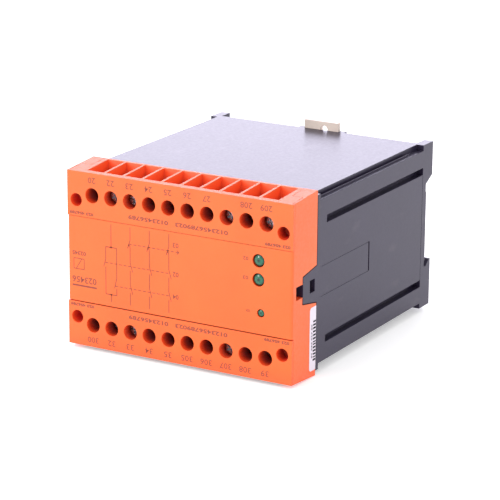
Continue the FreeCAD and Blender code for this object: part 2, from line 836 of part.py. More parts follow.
def make_board(name, sign):
    """A circuit board that slides between the guides in the case's sides."""
    edge = half_width - size.side_wall - size.guide_width / 2 - size.slip
    low, high = sorted((board_inside * sign, (board_inside + size.board_sheet) * sign),
                       key=lambda rise: rise.value)
    board = box(f"circuit_board_{name}", -edge, edge, back(shoulder + size.slip),
                back(rear_inside - size.slip), up(low), up(high))
    board.Label = f"circuit_board_{name}"
    parts.append(board)


def make_blades(name, sign):
    """Ten angled contact blades that stand on the board and reach into the strip."""
    low = parting + blade_bottom
    high = parting + blade_top
    tip = size.strip_depth - size.blade_reach
    tail = flange_back + size.blade_tail
    profile = [(tip, low), (tail, low), (tail, board_inside), (tail - size.blade_foot, board_inside),
               (tail - size.blade_foot, high), (tip, high)]
    outline = [(back(distance), up(rise * sign)) for distance, rise in profile]
    blades = []
    for index in range(SIZES["terminal_count"]):
        blade = document.addObject("PartDesign::Body", f"blade_{name}_{index + 1}")
        half = size.blade_width / 2
        extrude(blade, f"blade_{name}_{index + 1}_sheet", "side", -half, half, [outline])
        move(blade, terminal_x(index), 0, 0)
        blades.append(blade)
    row = document.addObject("Part::Compound", f"contact_blades_{name}")
    row.Links = blades
    place(row, f"contact_blades_{name}")


def make_relays():
    """Three switching relays that hang under the upper board."""
    front = shoulder + size.relay_back
    for index in (-1, 0, 1):
        middle = (size.relay_width + size.relay_gap) * index
        label = f"switching_relay_{index + 2}"
        relay = box(label, middle - size.relay_width / 2, middle + size.relay_width / 2,
                    back(front), back(front + size.relay_length),
                    up(board_inside - size.relay_height), up(board_inside))
        relay.Label = label
        parts.append(relay)


def place_joined(label, solids):
    """Fuse Part solids that already stand in place, and list the result."""
    joined = fuse(label, solids)
    joined.Label = label
    parts.append(joined)
    return joined


def make_transformer():
    """Supply transformer on the lower board: a wound coil inside a stack of plates."""
    front = shoulder + size.coil_back
    rear = front + size.coil_length
    floor = -board_inside
    left = size.coil_across - size.coil_width / 2
    right = size.coil_across + size.coil_width / 2
    coil = box("transformer_coil", left + size.core_reach, right - size.core_reach,
               back(front), back(rear), up(floor), up(floor + size.coil_height - size.core_reach))
    middle = (front + rear) / 2
    core = box("transformer_core", left, right, back(middle - size.core_sheet),
               back(middle + size.core_sheet), up(floor), up(floor + size.coil_height))
    place_joined("transformer", [coil, core])


def make_capacitor():
    """Smoothing capacitor that stands on the lower board."""
    can = cylinder("capacitor", size.can_diameter, size.can_height, size.can_across,
                   back(shoulder + size.can_back), up(-board_inside), UPRIGHT)
    can.Label = "capacitor"
    parts.append(can)


# --- rail latch -------------------------------------------------------------------------------

def make_rail_latch():
    """Sliding latch: a plate in the case's channel with a hook behind the rail's edge."""
    body = new_body("rail_latch")
    front = rear_face + size.slip
    plate_back = front + size.latch_sheet
    hook_front = rail_face + size.rail_sheet + size.slip * 3
    hook_back = size.depth - size.slip * 10
    foot = rail_top + size.slip * 8
    block_top = foot + size.latch_block
    top = case_half + size.latch_reach
    corners = [
        (front, foot), (front, top), (plate_back, top), (plate_back, block_top),
        (hook_back, block_top), (hook_back, rail_top), (hook_front, rail_top - size.latch_hook),
        (hook_front, foot),
    ]
    right = latch_left + size.latch_width
    extrude(body, "latch_profile", "side", latch_left, right,
            [[(back(distance), up(rise)) for distance, rise in corners]])
    hole_x = size.latch_offset + size.latch_hole_offset
    extrude(body, "tool_hole", "front", back(front), back(plate_back),
            circles=[(hole_x, up(top - size.latch_hole_drop), size.latch_hole)], cut=True)


# --- build, check and write -------------------------------------------------------------------

REMOVES = ("PartDesign::Pocket", "PartDesign::SubtractiveLoft")
ADDS = ("PartDesign::Pad",)


def check_document():
    """Stop if an object failed, a piece is empty, or a feature changed nothing."""
    for item in document.Objects:
        if "Invalid" in item.State or "Error" in item.State:
            raise RuntimeError(f"{item.Name} failed: {item.State}")
        base = getattr(item, "BaseFeature", None)
        if base is None or item.TypeId not in REMOVES + ADDS:
            continue
        change = item.Shape.Volume - base.Shape.Volume
        if item.TypeId in REMOVES and change >= 0:
            raise RuntimeError(f"{item.Name} cuts nothing")
        if item.TypeId in ADDS and change <= 0:
            raise RuntimeError(f"{item.Name} adds nothing")
    for piece in parts:
        shape = piece.Shape
        if shape.isNull() or not shape.isValid() or not shape.Solids:
            raise RuntimeError(f"{piece.Label} has no valid solid")


def main():
    """Build every piece, check the document and write one STEP file for each piece."""
    make_case()
    make_front_panel()
    make_status_lights()
    for name, sign, driven in STRIPS:
        make_terminal_strip(name, sign)
        make_clamp_row(name, sign)
        for index, depth in enumerate(driven):
            make_terminal(name, sign, index, depth)
        make_board(name, sign)
        make_blades(name, sign)
    make_relays()
    make_transformer()
    make_capacitor()
    make_rail_latch()
    document.recompute()
    check_document()
    os.makedirs("parts", exist_ok=True)
    for piece in parts:
        piece.Shape.exportStep(f"parts/{piece.Label}.step")
        print(f"{piece.Label}: {piece.Shape.Volume:.1f} mm3, {len(piece.Shape.Solids)} solid(s)")


main()
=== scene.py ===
"""Looks of a rail-mounted safety relay: finishes, printed marks, screws, lights and studio."""

import logging
import math
from collections.abc import Iterable, Sequence
from dataclasses import dataclass, field
from enum import Enum

import bmesh
import bpy
from mathutils import Matrix, Vector

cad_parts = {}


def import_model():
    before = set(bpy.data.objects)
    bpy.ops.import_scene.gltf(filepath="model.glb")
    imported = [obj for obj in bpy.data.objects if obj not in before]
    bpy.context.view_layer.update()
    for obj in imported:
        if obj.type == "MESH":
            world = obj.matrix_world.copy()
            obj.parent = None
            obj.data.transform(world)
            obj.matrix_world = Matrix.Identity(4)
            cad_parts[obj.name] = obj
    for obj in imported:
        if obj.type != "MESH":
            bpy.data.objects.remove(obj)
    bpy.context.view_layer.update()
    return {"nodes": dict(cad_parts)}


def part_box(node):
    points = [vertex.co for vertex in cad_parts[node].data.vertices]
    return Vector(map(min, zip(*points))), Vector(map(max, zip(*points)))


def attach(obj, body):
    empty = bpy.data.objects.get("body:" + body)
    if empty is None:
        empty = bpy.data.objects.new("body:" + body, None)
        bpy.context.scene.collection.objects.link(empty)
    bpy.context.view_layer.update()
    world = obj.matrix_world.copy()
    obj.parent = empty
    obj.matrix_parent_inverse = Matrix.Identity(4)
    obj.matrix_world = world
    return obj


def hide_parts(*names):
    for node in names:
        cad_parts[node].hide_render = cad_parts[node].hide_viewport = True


# Sizes are in millimetres unless a docstring says otherwise, and MM turns them into metres.
MM = 0.001
LOG = logging.getLogger("safety_relay")

Point = tuple[float, float]
Span = tuple[float, float]
Colour = tuple[float, float, float]
Stretch = tuple[float, float, float]
Socket = bpy.types.NodeSocket

HOUSING = "housing"
UPSIDE_DOWN = 180.0
PLAIN_NOISE = 2.0
WHITE: Colour = (1.0, 1.0, 1.0)
ORANGE: Colour = (0.8, 0.121, 0.015)


class Row(Enum):
    """The two rows of terminals, each on a strip of its own."""

    UPPER = "upper"
    LOWER = "lower"

    @property
    def body(self) -> str:
        """Name of the body of the row's strip."""
        return f"strip_{self.value}"

    def screw(self, number: int) -> str:
        """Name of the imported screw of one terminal, counted from the left."""
        return f"terminal_screw_{self.value}_{number}"


class Side(Enum):
    """The two sides of the relay, with the sign of their X."""

    LEFT = -1
    RIGHT = 1

    @property
    def label(self) -> str:
        """The side's name as it stands in the names of pieces."""
        return self.name.lower()


class Plane(Enum):
    """Faces of the relay that carry print, as axes for right, up and out."""

    FRONT = (Vector((1, 0, 0)), Vector((0, 0, 1)), Vector((0, -1, 0)))
    RIGHT = (Vector((0, 1, 0)), Vector((0, 0, 1)), Vector((1, 0, 0)))
    LEFT = (Vector((0, -1, 0)), Vector((0, 0, 1)), Vector((-1, 0, 0)))

    def placed(self, origin: Vector) -> Matrix:
        """Matrix from the face's own right, up and out to the model's frame.

        Args:
            origin: Where the face's own origin stands, in metres.

        Returns:
            The placing matrix.
        """
        axes = Matrix(self.value).transposed().to_4x4()
        return Matrix.Translation(origin) @ axes


@dataclass(frozen=True)
class Outside:
    """Outer faces of the relay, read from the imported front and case.

    Attributes:
        front: Place of the front face along Y, in metres.
        half_width: Distance of both sides from the middle, in metres.
        bottom: Height of the front's lower edge.
        top: Height of the front's upper edge.
        case_bottom: Height of the case's underside.
        case_top: Height of the case's top.
        tab_tip: How far behind the front face the snap tabs end.
    """

    front: float
    half_width: float
    bottom: float
    top: float
    case_bottom: float
    case_top: float
    tab_tip: float

    @classmethod
    def read(cls) -> "Outside":
        """Read the faces from the frame.

        Returns:
            The faces of the relay that was packed.
        """
        panel_low, panel_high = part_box("front_panel")
        case_low, case_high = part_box("case")
        return cls(front=panel_low.y, half_width=panel_high.x,
                   bottom=panel_low.z / MM, top=panel_high.z / MM,
                   case_bottom=case_low.z / MM, case_top=case_high.z / MM,
                   tab_tip=(case_low.y - panel_low.y) / MM)

    @property
    def middle(self) -> float:
        """Height of the plane half way up the relay."""
        return (self.case_bottom + self.case_top) / 2


# --- finishes ---------------------------------------------------------------------------------


class Shader:
    """Node tree of one material, with short calls for what the finishes share."""

    # A mix node has sockets of the same names for numbers and for colours, so its colour
    # sockets are found by their place.
    FIRST_COLOUR = 6
    SECOND_COLOUR = 7
    MIXED_COLOUR = 2

    def __init__(self, name: str) -> None:
        """Start a material with a principled shader.

        Args:
            name: Name of the material.
        """
        self.material = bpy.data.materials.new(name)
        self.material.use_nodes = True
        self.tree = self.material.node_tree
        self.tree.nodes.clear()
        self.output = self.add("ShaderNodeOutputMaterial")
        self.surface = self.add("ShaderNodeBsdfPrincipled")
        self.link(self.surface.outputs["BSDF"], self.output.inputs["Surface"])
        self.place = self.add("ShaderNodeTexCoord").outputs["Object"]

    def add(self, kind: str, **settings: object) -> bpy.types.Node:
        """Add a node.

        Args:
            kind: Blender's identifier of the node.
            **settings: Properties to set on the node.

        Returns:
            The new node.
        """
        node = self.tree.nodes.new(kind)
        for name, value in settings.items():
            setattr(node, name, value)
        return node

    def link(self, source: Socket, target: Socket) -> None:
        """Join an output to an input."""
        self.tree.links.new(source, target)

    def constant(self, **values: object) -> None:
        """Set sockets of the principled shader, with underscores for the spaces in their names."""
        for name, value in values.items():
            self.surface.inputs[name.replace("_", " ")].default_value = value

    def noise(self, grain: float, detail: float = 3.0,
              stretch: Stretch = (1.0, 1.0, 1.0)) -> Socket:
        """Cloudy noise over the piece.

        Args:
            grain: Size of the grains.
            detail: How many finer layers are added.
            stretch: How much longer the grains are along each axis.

        Returns:
            The noise's value, from 0 to 1.
        """
        mapping = self.add("ShaderNodeMapping")
        mapping.inputs["Scale"].default_value = [1.0 / share for share in stretch]
        self.link(self.place, mapping.inputs["Vector"])
        texture = self.add("ShaderNodeTexNoise")
        texture.inputs["Scale"].default_value = 1.0 / (grain * MM)
        texture.inputs["Detail"].default_value = detail
        self.link(mapping.outputs["Vector"], texture.inputs["Vector"])
        return texture.outputs["Fac"]

    def between(self, value: Socket, low: float, high: float, start: float = 0.3,
                end: float = 0.7) -> Socket:
        """Spread a value over a range. The start and end left out are a noise's usual span.

        Args:
            value: The value to spread.
            low: Result at the start of the span.
            high: Result at its end.
            start: Value at which the span starts.
            end: Value at which it ends.

        Returns:
            The spread value.
        """
        spread = self.add("ShaderNodeMapRange")
        limits = {"From Min": start, "From Max": end, "To Min": low, "To Max": high}
        for name, number in limits.items():
            spread.inputs[name].default_value = number
        self.link(value, spread.inputs["Value"])
        return spread.outputs["Result"]

    def mixed(self, share: Socket, first: Colour | Socket, second: Colour | Socket) -> Socket:
        """Mix two colours.

        Args:
            share: How much of the second colour shows.
            first: A colour, or the socket that gives it.
            second: The other colour or socket.

        Returns:
            The mixed colour.
        """
        mix = self.add("ShaderNodeMix", data_type="RGBA")
        self.link(share, mix.inputs["Factor"])
        for index, colour in ((self.FIRST_COLOUR, first), (self.SECOND_COLOUR, second)):
            if isinstance(colour, Socket):
                self.link(colour, mix.inputs[index])
            else:
                mix.inputs[index].default_value = (*colour, 1.0)
        return mix.outputs[self.MIXED_COLOUR]

    def openness(self, reach: float) -> Socket:
        """How open the surface is: 1 on open faces, falling to 0 deep in holes and pockets.

        Args:
            reach: How far away a facing wall still counts.

        Returns:
            The openness.
        """
        occlusion = self.add("ShaderNodeAmbientOcclusion", samples=8)
        occlusion.inputs["Distance"].default_value = reach * MM
        return occlusion.outputs["AO"]

    def beyond(self, start: float, run: float) -> Socket:
        """Rise from 0 to 1 towards both ends of the piece.

        Args:
            start: Distance from the middle at which the rise starts.
            run: Distance over which it rises.

        Returns:
            The risen share.
        """
        apart = self.add("ShaderNodeSeparateXYZ")
        self.link(self.place, apart.inputs["Vector"])
        distance = self.add("ShaderNodeMath", operation="ABSOLUTE")
        self.link(apart.outputs["X"], distance.inputs[0])
        return self.between(distance.outputs["Value"], 0.0, 1.0, start * MM, (start + run) * MM)

    def off_axis(self) -> Socket:
        """Distance from the piece's own Y axis, in metres.

        Returns:
            The distance.
        """
        flat = self.add("ShaderNodeVectorMath", operation="MULTIPLY")
        flat.inputs[1].default_value = (1.0, 0.0, 1.0)
        self.link(self.place, flat.inputs[0])
        length = self.add("ShaderNodeVectorMath", operation="LENGTH")
        self.link(flat.outputs["Vector"], length.inputs[0])
        return length.outputs["Value"]

    def relief(self, layers: Iterable[tuple[Socket, float]], edge: float = 0.0) -> None:
        """Give the surface its fine relief and its softened edges.

        Args:
            layers: Height textures, each with its depth.
            edge: Radius with which edges catch the light, or 0 for sharp ones.
        """
        normal = None
        if edge:
            bevel = self.add("ShaderNodeBevel", samples=6)
            bevel.inputs["Radius"].default_value = edge * MM
            normal = bevel.outputs["Normal"]
        for height, depth in layers:
            bump = self.add("ShaderNodeBump")
            bump.inputs["Distance"].default_value = depth * MM
            bump.inputs["Strength"].default_value = 1.0
            self.link(height, bump.inputs["Height"])
            if normal is not None:
                self.link(normal, bump.inputs["Normal"])
            normal = bump.outputs["Normal"]
        self.link(normal, self.surface.inputs["Normal"])

    def colour(self, socket: Socket) -> None:
        """Use a socket as the base colour."""
        self.link(socket, self.surface.inputs["Base Color"])

    def roughness(self, socket: Socket) -> None:
        """Use a socket as the roughness."""
        self.link(socket, self.surface.inputs["Roughness"])


def shaded(colour: Colour, share: float) -> Colour:
    """A colour made lighter or darker by a share."""
    return tuple(min(1.0, channel * share) for channel in colour)


@dataclass(frozen=True)
class Scuffs:
    """Faint rubbed spots on a moulded surface."""

    colour: Colour
    strength: float
    size: float = 7.0
    detail: float = 6.0
    stretch: Stretch = (1.0, 2.5, 1.0)
    span: Span = (0.6, 0.8)

    def over(self, shader: Shader, skin: Socket) -> Socket:
        """Rub the spots into a skin.

        Args:
            shader: The material's shader.
            skin: The colour below.

        Returns:
            The colour with the spots in it.
        """
        spots = shader.noise(self.size, self.detail, self.stretch)
        rubbed = shader.between(spots, 0.0, self.strength, *self.span)
        return shader.mixed(rubbed, skin, self.colour)


@dataclass(frozen=True)
class HollowShade:
    """Painted shade and painted light in enclosed places and in the holes near both ends."""

    # Painted bounce light: a more saturated red where the surface is enclosed.
    bay_bounce_tint: Colour
    # Painted shade: nearly black deep in the holes.
    bore_shade: Colour
    # Painted glow: a lighter red in the holes near both ends of the strips.
    end_bore_glow: Colour
    reach: float = 12.0
    bay_span: Span = (0.35, 0.85)
    bore_span: Span = (0.02, 0.3)
    ends_start: float = 44.6
    ends_run: float = 0.8

    def over(self, shader: Shader, skin: Socket) -> Socket:
        """Paint shade and bounced light into a skin's hollows.

        Args:
            shader: The material's shader.
            skin: The colour of the open faces.

        Returns:
            The colour with painted shade and painted light in its hollows.
        """
        # Ambient occlusion picks out where the painted bounce light, painted shade and painted
        # glow go.
        openness = shader.openness(self.reach)
        skin = shader.mixed(shader.between(openness, 0.0, 1.0, *self.bay_span), self.bay_bounce_tint, skin)
        bore_shade_and_glow = shader.mixed(shader.beyond(self.ends_start, self.ends_run), self.bore_shade,
                              self.end_bore_glow)
        return shader.mixed(shader.between(openness, 0.0, 1.0, *self.bore_span), bore_shade_and_glow, skin)


@dataclass(frozen=True)
class MouldedPlastic:
    """Injection-moulded plastic with a spark-eroded grain and faint flow clouds."""

    name: str
    colour: Colour
    layers: Sequence[Scuffs | HollowShade] = ()
    variation: float = 0.05
    cloud_size: float = 18.0
    grain: float = 0.35
    grain_depth: float = 0.012
    speck_share: float = 0.12
    speck_shade: float = 0.7
    roughness: float = 0.42
    unevenness: float = 0.06
    dull_patch: float = 1.2
    edge: float = 0.25
    sheen: float = 0.5
    sheen_tint: Colour = WHITE

    def make(self) -> bpy.types.Material:
        """Build the material.

        Returns:
            The plastic.
        """
        shader = Shader(self.name)
        clouds = shader.between(shader.noise(self.cloud_size, PLAIN_NOISE), 0.0, 1.0)
        specks = shader.between(shader.noise(self.grain, PLAIN_NOISE), 0.0, 1.0)
        skin = shader.mixed(clouds, shaded(self.colour, 1 - self.variation),
                            shaded(self.colour, 1 + self.variation))
        skin = shader.mixed(shader.between(specks, 0.0, self.speck_share, 0.0, 1.0), skin,
                            shaded(self.colour, self.speck_shade))
        for layer in self.layers:
            skin = layer.over(shader, skin)
        shader.colour(skin)
        shader.roughness(shader.between(shader.noise(self.dull_patch),
                                        self.roughness - self.unevenness,
                                        self.roughness + self.unevenness))
        shader.relief([(specks, self.grain_depth), (clouds, self.grain_depth * 2)], self.edge)
        shader.constant(Specular_Tint=(*self.sheen_tint, 1.0), Specular_IOR_Level=self.sheen)
        return shader.material


@dataclass(frozen=True)
class PlatedMetal:
    """Plated or bare metal with fine draw marks and small dull patches."""

    name: str
    colour: Colour
    roughness: float = 0.28
    dulling: float = 0.1
    patch_size: float = 0.9
    patch_shade: float = 0.82
    mark_size: float = 0.12
    mark_depth: float = 0.004
    drawn: Stretch = (1.0, 12.0, 1.0)
    edge: float = 0.08

    def make(self) -> bpy.types.Material:
        """Build the material.

        Returns:
            The metal.
        """
        shader = Shader(self.name)
        patches = shader.between(shader.noise(self.patch_size), 0.0, 1.0)
        marks = shader.noise(self.mark_size, PLAIN_NOISE, self.drawn)
        shader.colour(shader.mixed(patches, shaded(self.colour, self.patch_shade), self.colour))
        shader.roughness(shader.between(patches, self.roughness + self.dulling, self.roughness,
                                        0.0, 1.0))
        shader.relief([(marks, self.mark_depth), (patches, self.mark_depth)], self.edge)
        shader.constant(Metallic=1.0)
        return shader.material


@dataclass(frozen=True)
class TintedLens:
    """Coloured cast lens of a status light, its colour dark in the middle cup, green in a ring and
    dark towards the rim.

    The spans of the cup and of the rim are shares of the lens's radius.
    """

    name: str
    radius: float
    colour: Colour = (0.006, 0.125, 0.07)
    deep: Colour = (0.0, 0.022, 0.016)
    cup: Span = (0.12, 0.4)
    rim: Span = (0.55, 0.92)
    haze_size: float = 1.8
    haze_depth: float = 0.003
    roughness: Span = (0.1, 0.14)
    coat: float = 0.3
    coat_roughness: float = 0.04
    refraction: float = 1.45

    def make(self) -> bpy.types.Material:
        """Build the material.

        Returns:
            The lens's plastic.
        """
        shader = Shader(self.name)
        haze = shader.between(shader.noise(self.haze_size), 0.0, 1.0)
        reach = shader.off_axis()
        cup, rim = (shader.between(reach, 0.0, 1.0, *(share * self.radius * MM for share in span))
                    for span in (self.cup, self.rim))
        body = shader.mixed(cup, self.deep, self.colour)
        shader.colour(shader.mixed(rim, body, self.deep))
        shader.roughness(shader.between(haze, *self.roughness, 0.0, 1.0))
        shader.relief([(haze, self.haze_depth)])
        shader.constant(Coat_Weight=self.coat, Coat_Roughness=self.coat_roughness,
                        IOR=self.refraction)
        return shader.material


@dataclass(frozen=True)
class InkAndPaintedShadow:
    """Pad-printed ink, slightly uneven where the coat is thin, also used for flat painted shadow.
    """

    name: str
    colour: Colour
    ground: Colour
    thin: float = 0.25
    blotch: float = 0.25
    film_depth: float = 0.004
    roughness: Span = (0.5, 0.7)
    sheen: float = 0.5

    def make(self) -> bpy.types.Material:
        """Build the material.

        Returns:
            The ink.
        """
        shader = Shader(self.name)
        coat = shader.between(shader.noise(self.blotch, PLAIN_NOISE), 0.0, self.thin)
        shader.colour(shader.mixed(coat, self.colour, self.ground))
        shader.roughness(shader.between(shader.noise(self.blotch * 2), *self.roughness))
        shader.relief([(coat, self.film_depth)])
        shader.constant(Specular_IOR_Level=self.sheen)
        return shader.material


@dataclass(frozen=True)
class LabelPaper:
    """Coated white label stock with faint fibres."""

    name: str = "label_paper"
    colour: Colour = (0.72, 0.66, 0.75)
    fibre: float = 0.15
    fibre_detail: float = 4.0
    fibre_stretch: Stretch = (1.0, 1.0, 3.0)
    fibre_depth: float = 0.006
    fibre_share: float = 0.4
    fibre_shade: float = 0.88
    roughness: Span = (0.35, 0.5)
    edge: float = 0.05

    def make(self) -> bpy.types.Material:
        """Build the material.

        Returns:
            The paper.
        """
        shader = Shader(self.name)
        fibres = shader.noise(self.fibre, self.fibre_detail, self.fibre_stretch)
        shader.colour(shader.mixed(shader.between(fibres, 0.0, self.fibre_share), self.colour,
                                   shaded(self.colour, self.fibre_shade)))
        shader.roughness(shader.between(fibres, *self.roughness))
        shader.relief([(fibres, self.fibre_depth)], self.edge)
        return shader.material


@dataclass(frozen=True)
class CircuitBoard:
    """Solder mask over copper tracks."""

    name: str
    mask: Colour
    track: Colour
    track_scale: float = 120.0
    track_offset: float = 0.37
    track_squash: float = 1.6
    track_width: float = 0.06
    track_softness: float = 0.3
    track_height: float = 0.03
    weave: float = 0.4
    weave_height: float = 0.01
    weave_share: float = 0.3
    weave_shade: float = 0.6
    roughness: Span = (0.25, 0.4)

    def make(self) -> bpy.types.Material:
        """Build the material.

        Returns:
            The board's surface.
        """
        shader = Shader(self.name)
        tracks = shader.add("ShaderNodeTexBrick", offset=self.track_offset,
                            squash=self.track_squash)
        tracks.inputs["Scale"].default_value = self.track_scale
        tracks.inputs["Mortar Size"].default_value = self.track_width
        tracks.inputs["Mortar Smooth"].default_value = self.track_softness
        shader.link(shader.place, tracks.inputs["Vector"])
        raised = tracks.outputs["Fac"]
        weave = shader.noise(self.weave)
        under = shader.mixed(raised, self.mask, self.track)
        shader.colour(shader.mixed(shader.between(weave, 0.0, self.weave_share), under,
                                   shaded(self.mask, self.weave_shade)))
        shader.roughness(shader.between(weave, *self.roughness))
        shader.relief([(raised, self.track_height), (weave, self.weave_height)])
        return shader.material


@dataclass(frozen=True)
class LaminatedCore:
    """Stack of varnished iron sheets round a taped coil."""

    name: str
    colour: Colour
    sheet_scale: float = 320.0
    sheet_waviness: float = 0.4
    sheet_step: float = 0.08
    varnish_patch: float = 2.0
    varnish_depth: float = 0.02
    varnish_shade: float = 0.55
    roughness: Span = (0.35, 0.55)
    metallic: float = 0.6

    def make(self) -> bpy.types.Material:
        """Build the material.

        Returns:
            The core's surface.
        """
        shader = Shader(self.name)
        sheets = shader.add("ShaderNodeTexWave", bands_direction="Z")
        sheets.inputs["Scale"].default_value = self.sheet_scale
        sheets.inputs["Distortion"].default_value = self.sheet_waviness
        shader.link(shader.place, sheets.inputs["Vector"])
        varnish = shader.between(shader.noise(self.varnish_patch), 0.0, 1.0)
        shader.colour(shader.mixed(varnish, self.colour, shaded(self.colour, self.varnish_shade)))
        shader.roughness(shader.between(varnish, *self.roughness, 0.0, 1.0))
        shader.relief([(sheets.outputs["Fac"], self.sheet_step), (varnish, self.varnish_depth)])
        shader.constant(Metallic=self.metallic)
        return shader.material


Finish = MouldedPlastic | PlatedMetal | CircuitBoard | LaminatedCore


@dataclass(frozen=True)
class Finishes:
    """The print's ink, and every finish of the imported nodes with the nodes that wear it."""

    front: MouldedPlastic = MouldedPlastic(
        "orange_housing_plastic", ORANGE, roughness=0.46,
        # The front's hollows get painted shade, painted bounce light and a painted glow at the
        # ends.
        layers=(HollowShade(bay_bounce_tint=(0.95, 0.095, 0.02), bore_shade=(0.1, 0.004, 0.01),
                        end_bore_glow=(0.6, 0.02, 0.03)),))
    case: MouldedPlastic = MouldedPlastic(
        "charcoal_case_plastic", (0.025, 0.02, 0.0405), variation=0.08, grain=0.3,
        grain_depth=0.0022, roughness=0.31, unevenness=0.025, sheen=0.31,
        sheen_tint=(0.86, 0.82, 1.0), layers=(Scuffs((0.16, 0.14, 0.16), 0.2),))
    latch: MouldedPlastic = MouldedPlastic(
        "sand_latch_plastic", (0.74, 0.62, 0.55), variation=0.12, grain=0.8, roughness=0.5)
    relay: MouldedPlastic = MouldedPlastic(
        "cream_relay_cover", (0.78, 0.75, 0.66), roughness=0.35)
    sleeve: MouldedPlastic = MouldedPlastic(
        "blue_capacitor_sleeve", (0.03, 0.05, 0.2), roughness=0.25)
    contact: PlatedMetal = PlatedMetal("tinned_contact_metal", (0.72, 0.69, 0.62))
    board: CircuitBoard = CircuitBoard(
        "green_circuit_board", mask=(0.015, 0.12, 0.05), track=(0.06, 0.26, 0.09))
    core: LaminatedCore = LaminatedCore("varnished_core", (0.16, 0.13, 0.11))
    ink: InkAndPaintedShadow = InkAndPaintedShadow("brown_print_ink", (0.16, 0.035, 0.025), ground=ORANGE)

    def worn(self) -> Sequence[tuple[Finish, tuple[str, ...]]]:
        """Each finish with the beginnings of the names of the nodes that wear it."""
        return (
            (self.front, ("front_panel", "terminal_strip")),
            (self.case, ("case",)),
            (self.latch, ("rail_latch",)),
            (self.relay, ("switching_relay",)),
            (self.sleeve, ("capacitor",)),
            (self.contact, ("clamp_row", "contact_blades", "wire_guard", "terminal_screw",
                            "status_light")),
            (self.board, ("circuit_board",)),
            (self.core, ("transformer",)),
        )

    def dress(self, nodes: dict[str, bpy.types.Object]) -> dict[str, bpy.types.Material]:
        """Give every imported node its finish.

        Args:
            nodes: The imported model's nodes by name.

        Returns:
            The materials by name.
        """
        materials = {}
        for finish, starts in self.worn():
            material = materials[finish.name] = finish.make()
            wearers = [node for name, node in nodes.items() if name.startswith(starts)]
            for node in wearers:
                node.data.materials.clear()
                node.data.materials.append(material)
            LOG.info("%s on %d nodes", finish.name, len(wearers))
        return materials


# --- mesh work --------------------------------------------------------------------------------


def piece_from(name: str, mesh: bmesh.types.BMesh, material: bpy.types.Material,
               smooth: float = 0.0) -> bpy.types.Object:
    """Turn mesh work into an object and free it.

    Args:
        name: Name of the piece.
        mesh: The finished mesh work.
        material: Its finish.
        smooth: Angle in degrees below which neighbouring faces shade as one, or 0 for none.

    Returns:
        The new object.
    """
    data = bpy.data.meshes.new(name)
    if smooth:
        limit = math.radians(smooth)
        for edge in mesh.edges:
            edge.smooth = len(edge.link_faces) == 2 and edge.calc_face_angle(0.0) < limit
        for face in mesh.faces:
            face.smooth = True
    mesh.to_mesh(data)
    mesh.free()
    data.materials.append(material)
    piece = bpy.data.objects.new(name, data)
    bpy.context.scene.collection.objects.link(piece)
    return piece


def report(piece: bpy.types.Object) -> None:
    """Log a finished piece with its number of faces."""
    LOG.info("%s: %d faces", piece.name, len(piece.data.polygons))


def turned(profile: Sequence[Point], steps: int = 48) -> bmesh.types.BMesh:
    """Turn a profile about the +Y axis.

    Args:
        profile: Points as (radius, depth), from the axis in front to the axis behind.
        steps: Number of steps round the axis.

    Returns:
        The closed turned mesh.
    """
    mesh = bmesh.new()
    rings = []
    for radius, depth in profile:
        angles = [math.tau * step / steps for step in range(steps if radius else 1)]
        rings.append([mesh.verts.new((radius * math.cos(angle) * MM, depth * MM,
                                      radius * math.sin(angle) * MM)) for angle in angles])
    for near, far in zip(rings, rings[1:]):
        for step in range(steps):
            after = (step + 1) % steps
            corners = [near[step % len(near)], near[after % len(near)],
                       far[after % len(far)], far[step % len(far)]]
            mesh.faces.new(list(dict.fromkeys(corners)))
    bmesh.ops.recalc_face_normals(mesh, faces=mesh.faces)
    return mesh


def thickened(corners: Sequence[Vector], run: Vector) -> bmesh.types.BMesh:
    """Pull a flat outline into a plate.

    Args:
        corners: The outline.
        run: How far and which way it is pulled.

    Returns:
        The closed plate.
    """
    mesh = bmesh.new()
    face = mesh.faces.new([mesh.verts.new(corner) for corner in corners])
    grown = bmesh.ops.extrude_face_region(mesh, geom=[face])
    moved = [item for item in grown["geom"] if isinstance(item, bmesh.types.BMVert)]
    bmesh.ops.translate(mesh, verts=moved, vec=run)
    bmesh.ops.recalc_face_normals(mesh, faces=mesh.faces)
    return mesh


def shifted(points: Sequence[Point], across: float, rise: float) -> list[Point]:
    """Points of a small drawing, moved to where it stands."""
    return [(across + x, rise + y) for x, y in points]


@dataclass(frozen=True)
class Figures:
    """One line of plain figures.

    Attributes:
        text: The figures.
        middle: Middle of the line.
        height: Height of the figures.
        length: Length of the whole line.
        weight: How much the strokes are thickened, as a share of the letter size.
        turn: Turn of the line in degrees. The relay's print stands on its head.
    """

    text: str
    middle: Point
    height: float
    length: float
    weight: float = 0.016
    turn: float = UPSIDE_DOWN


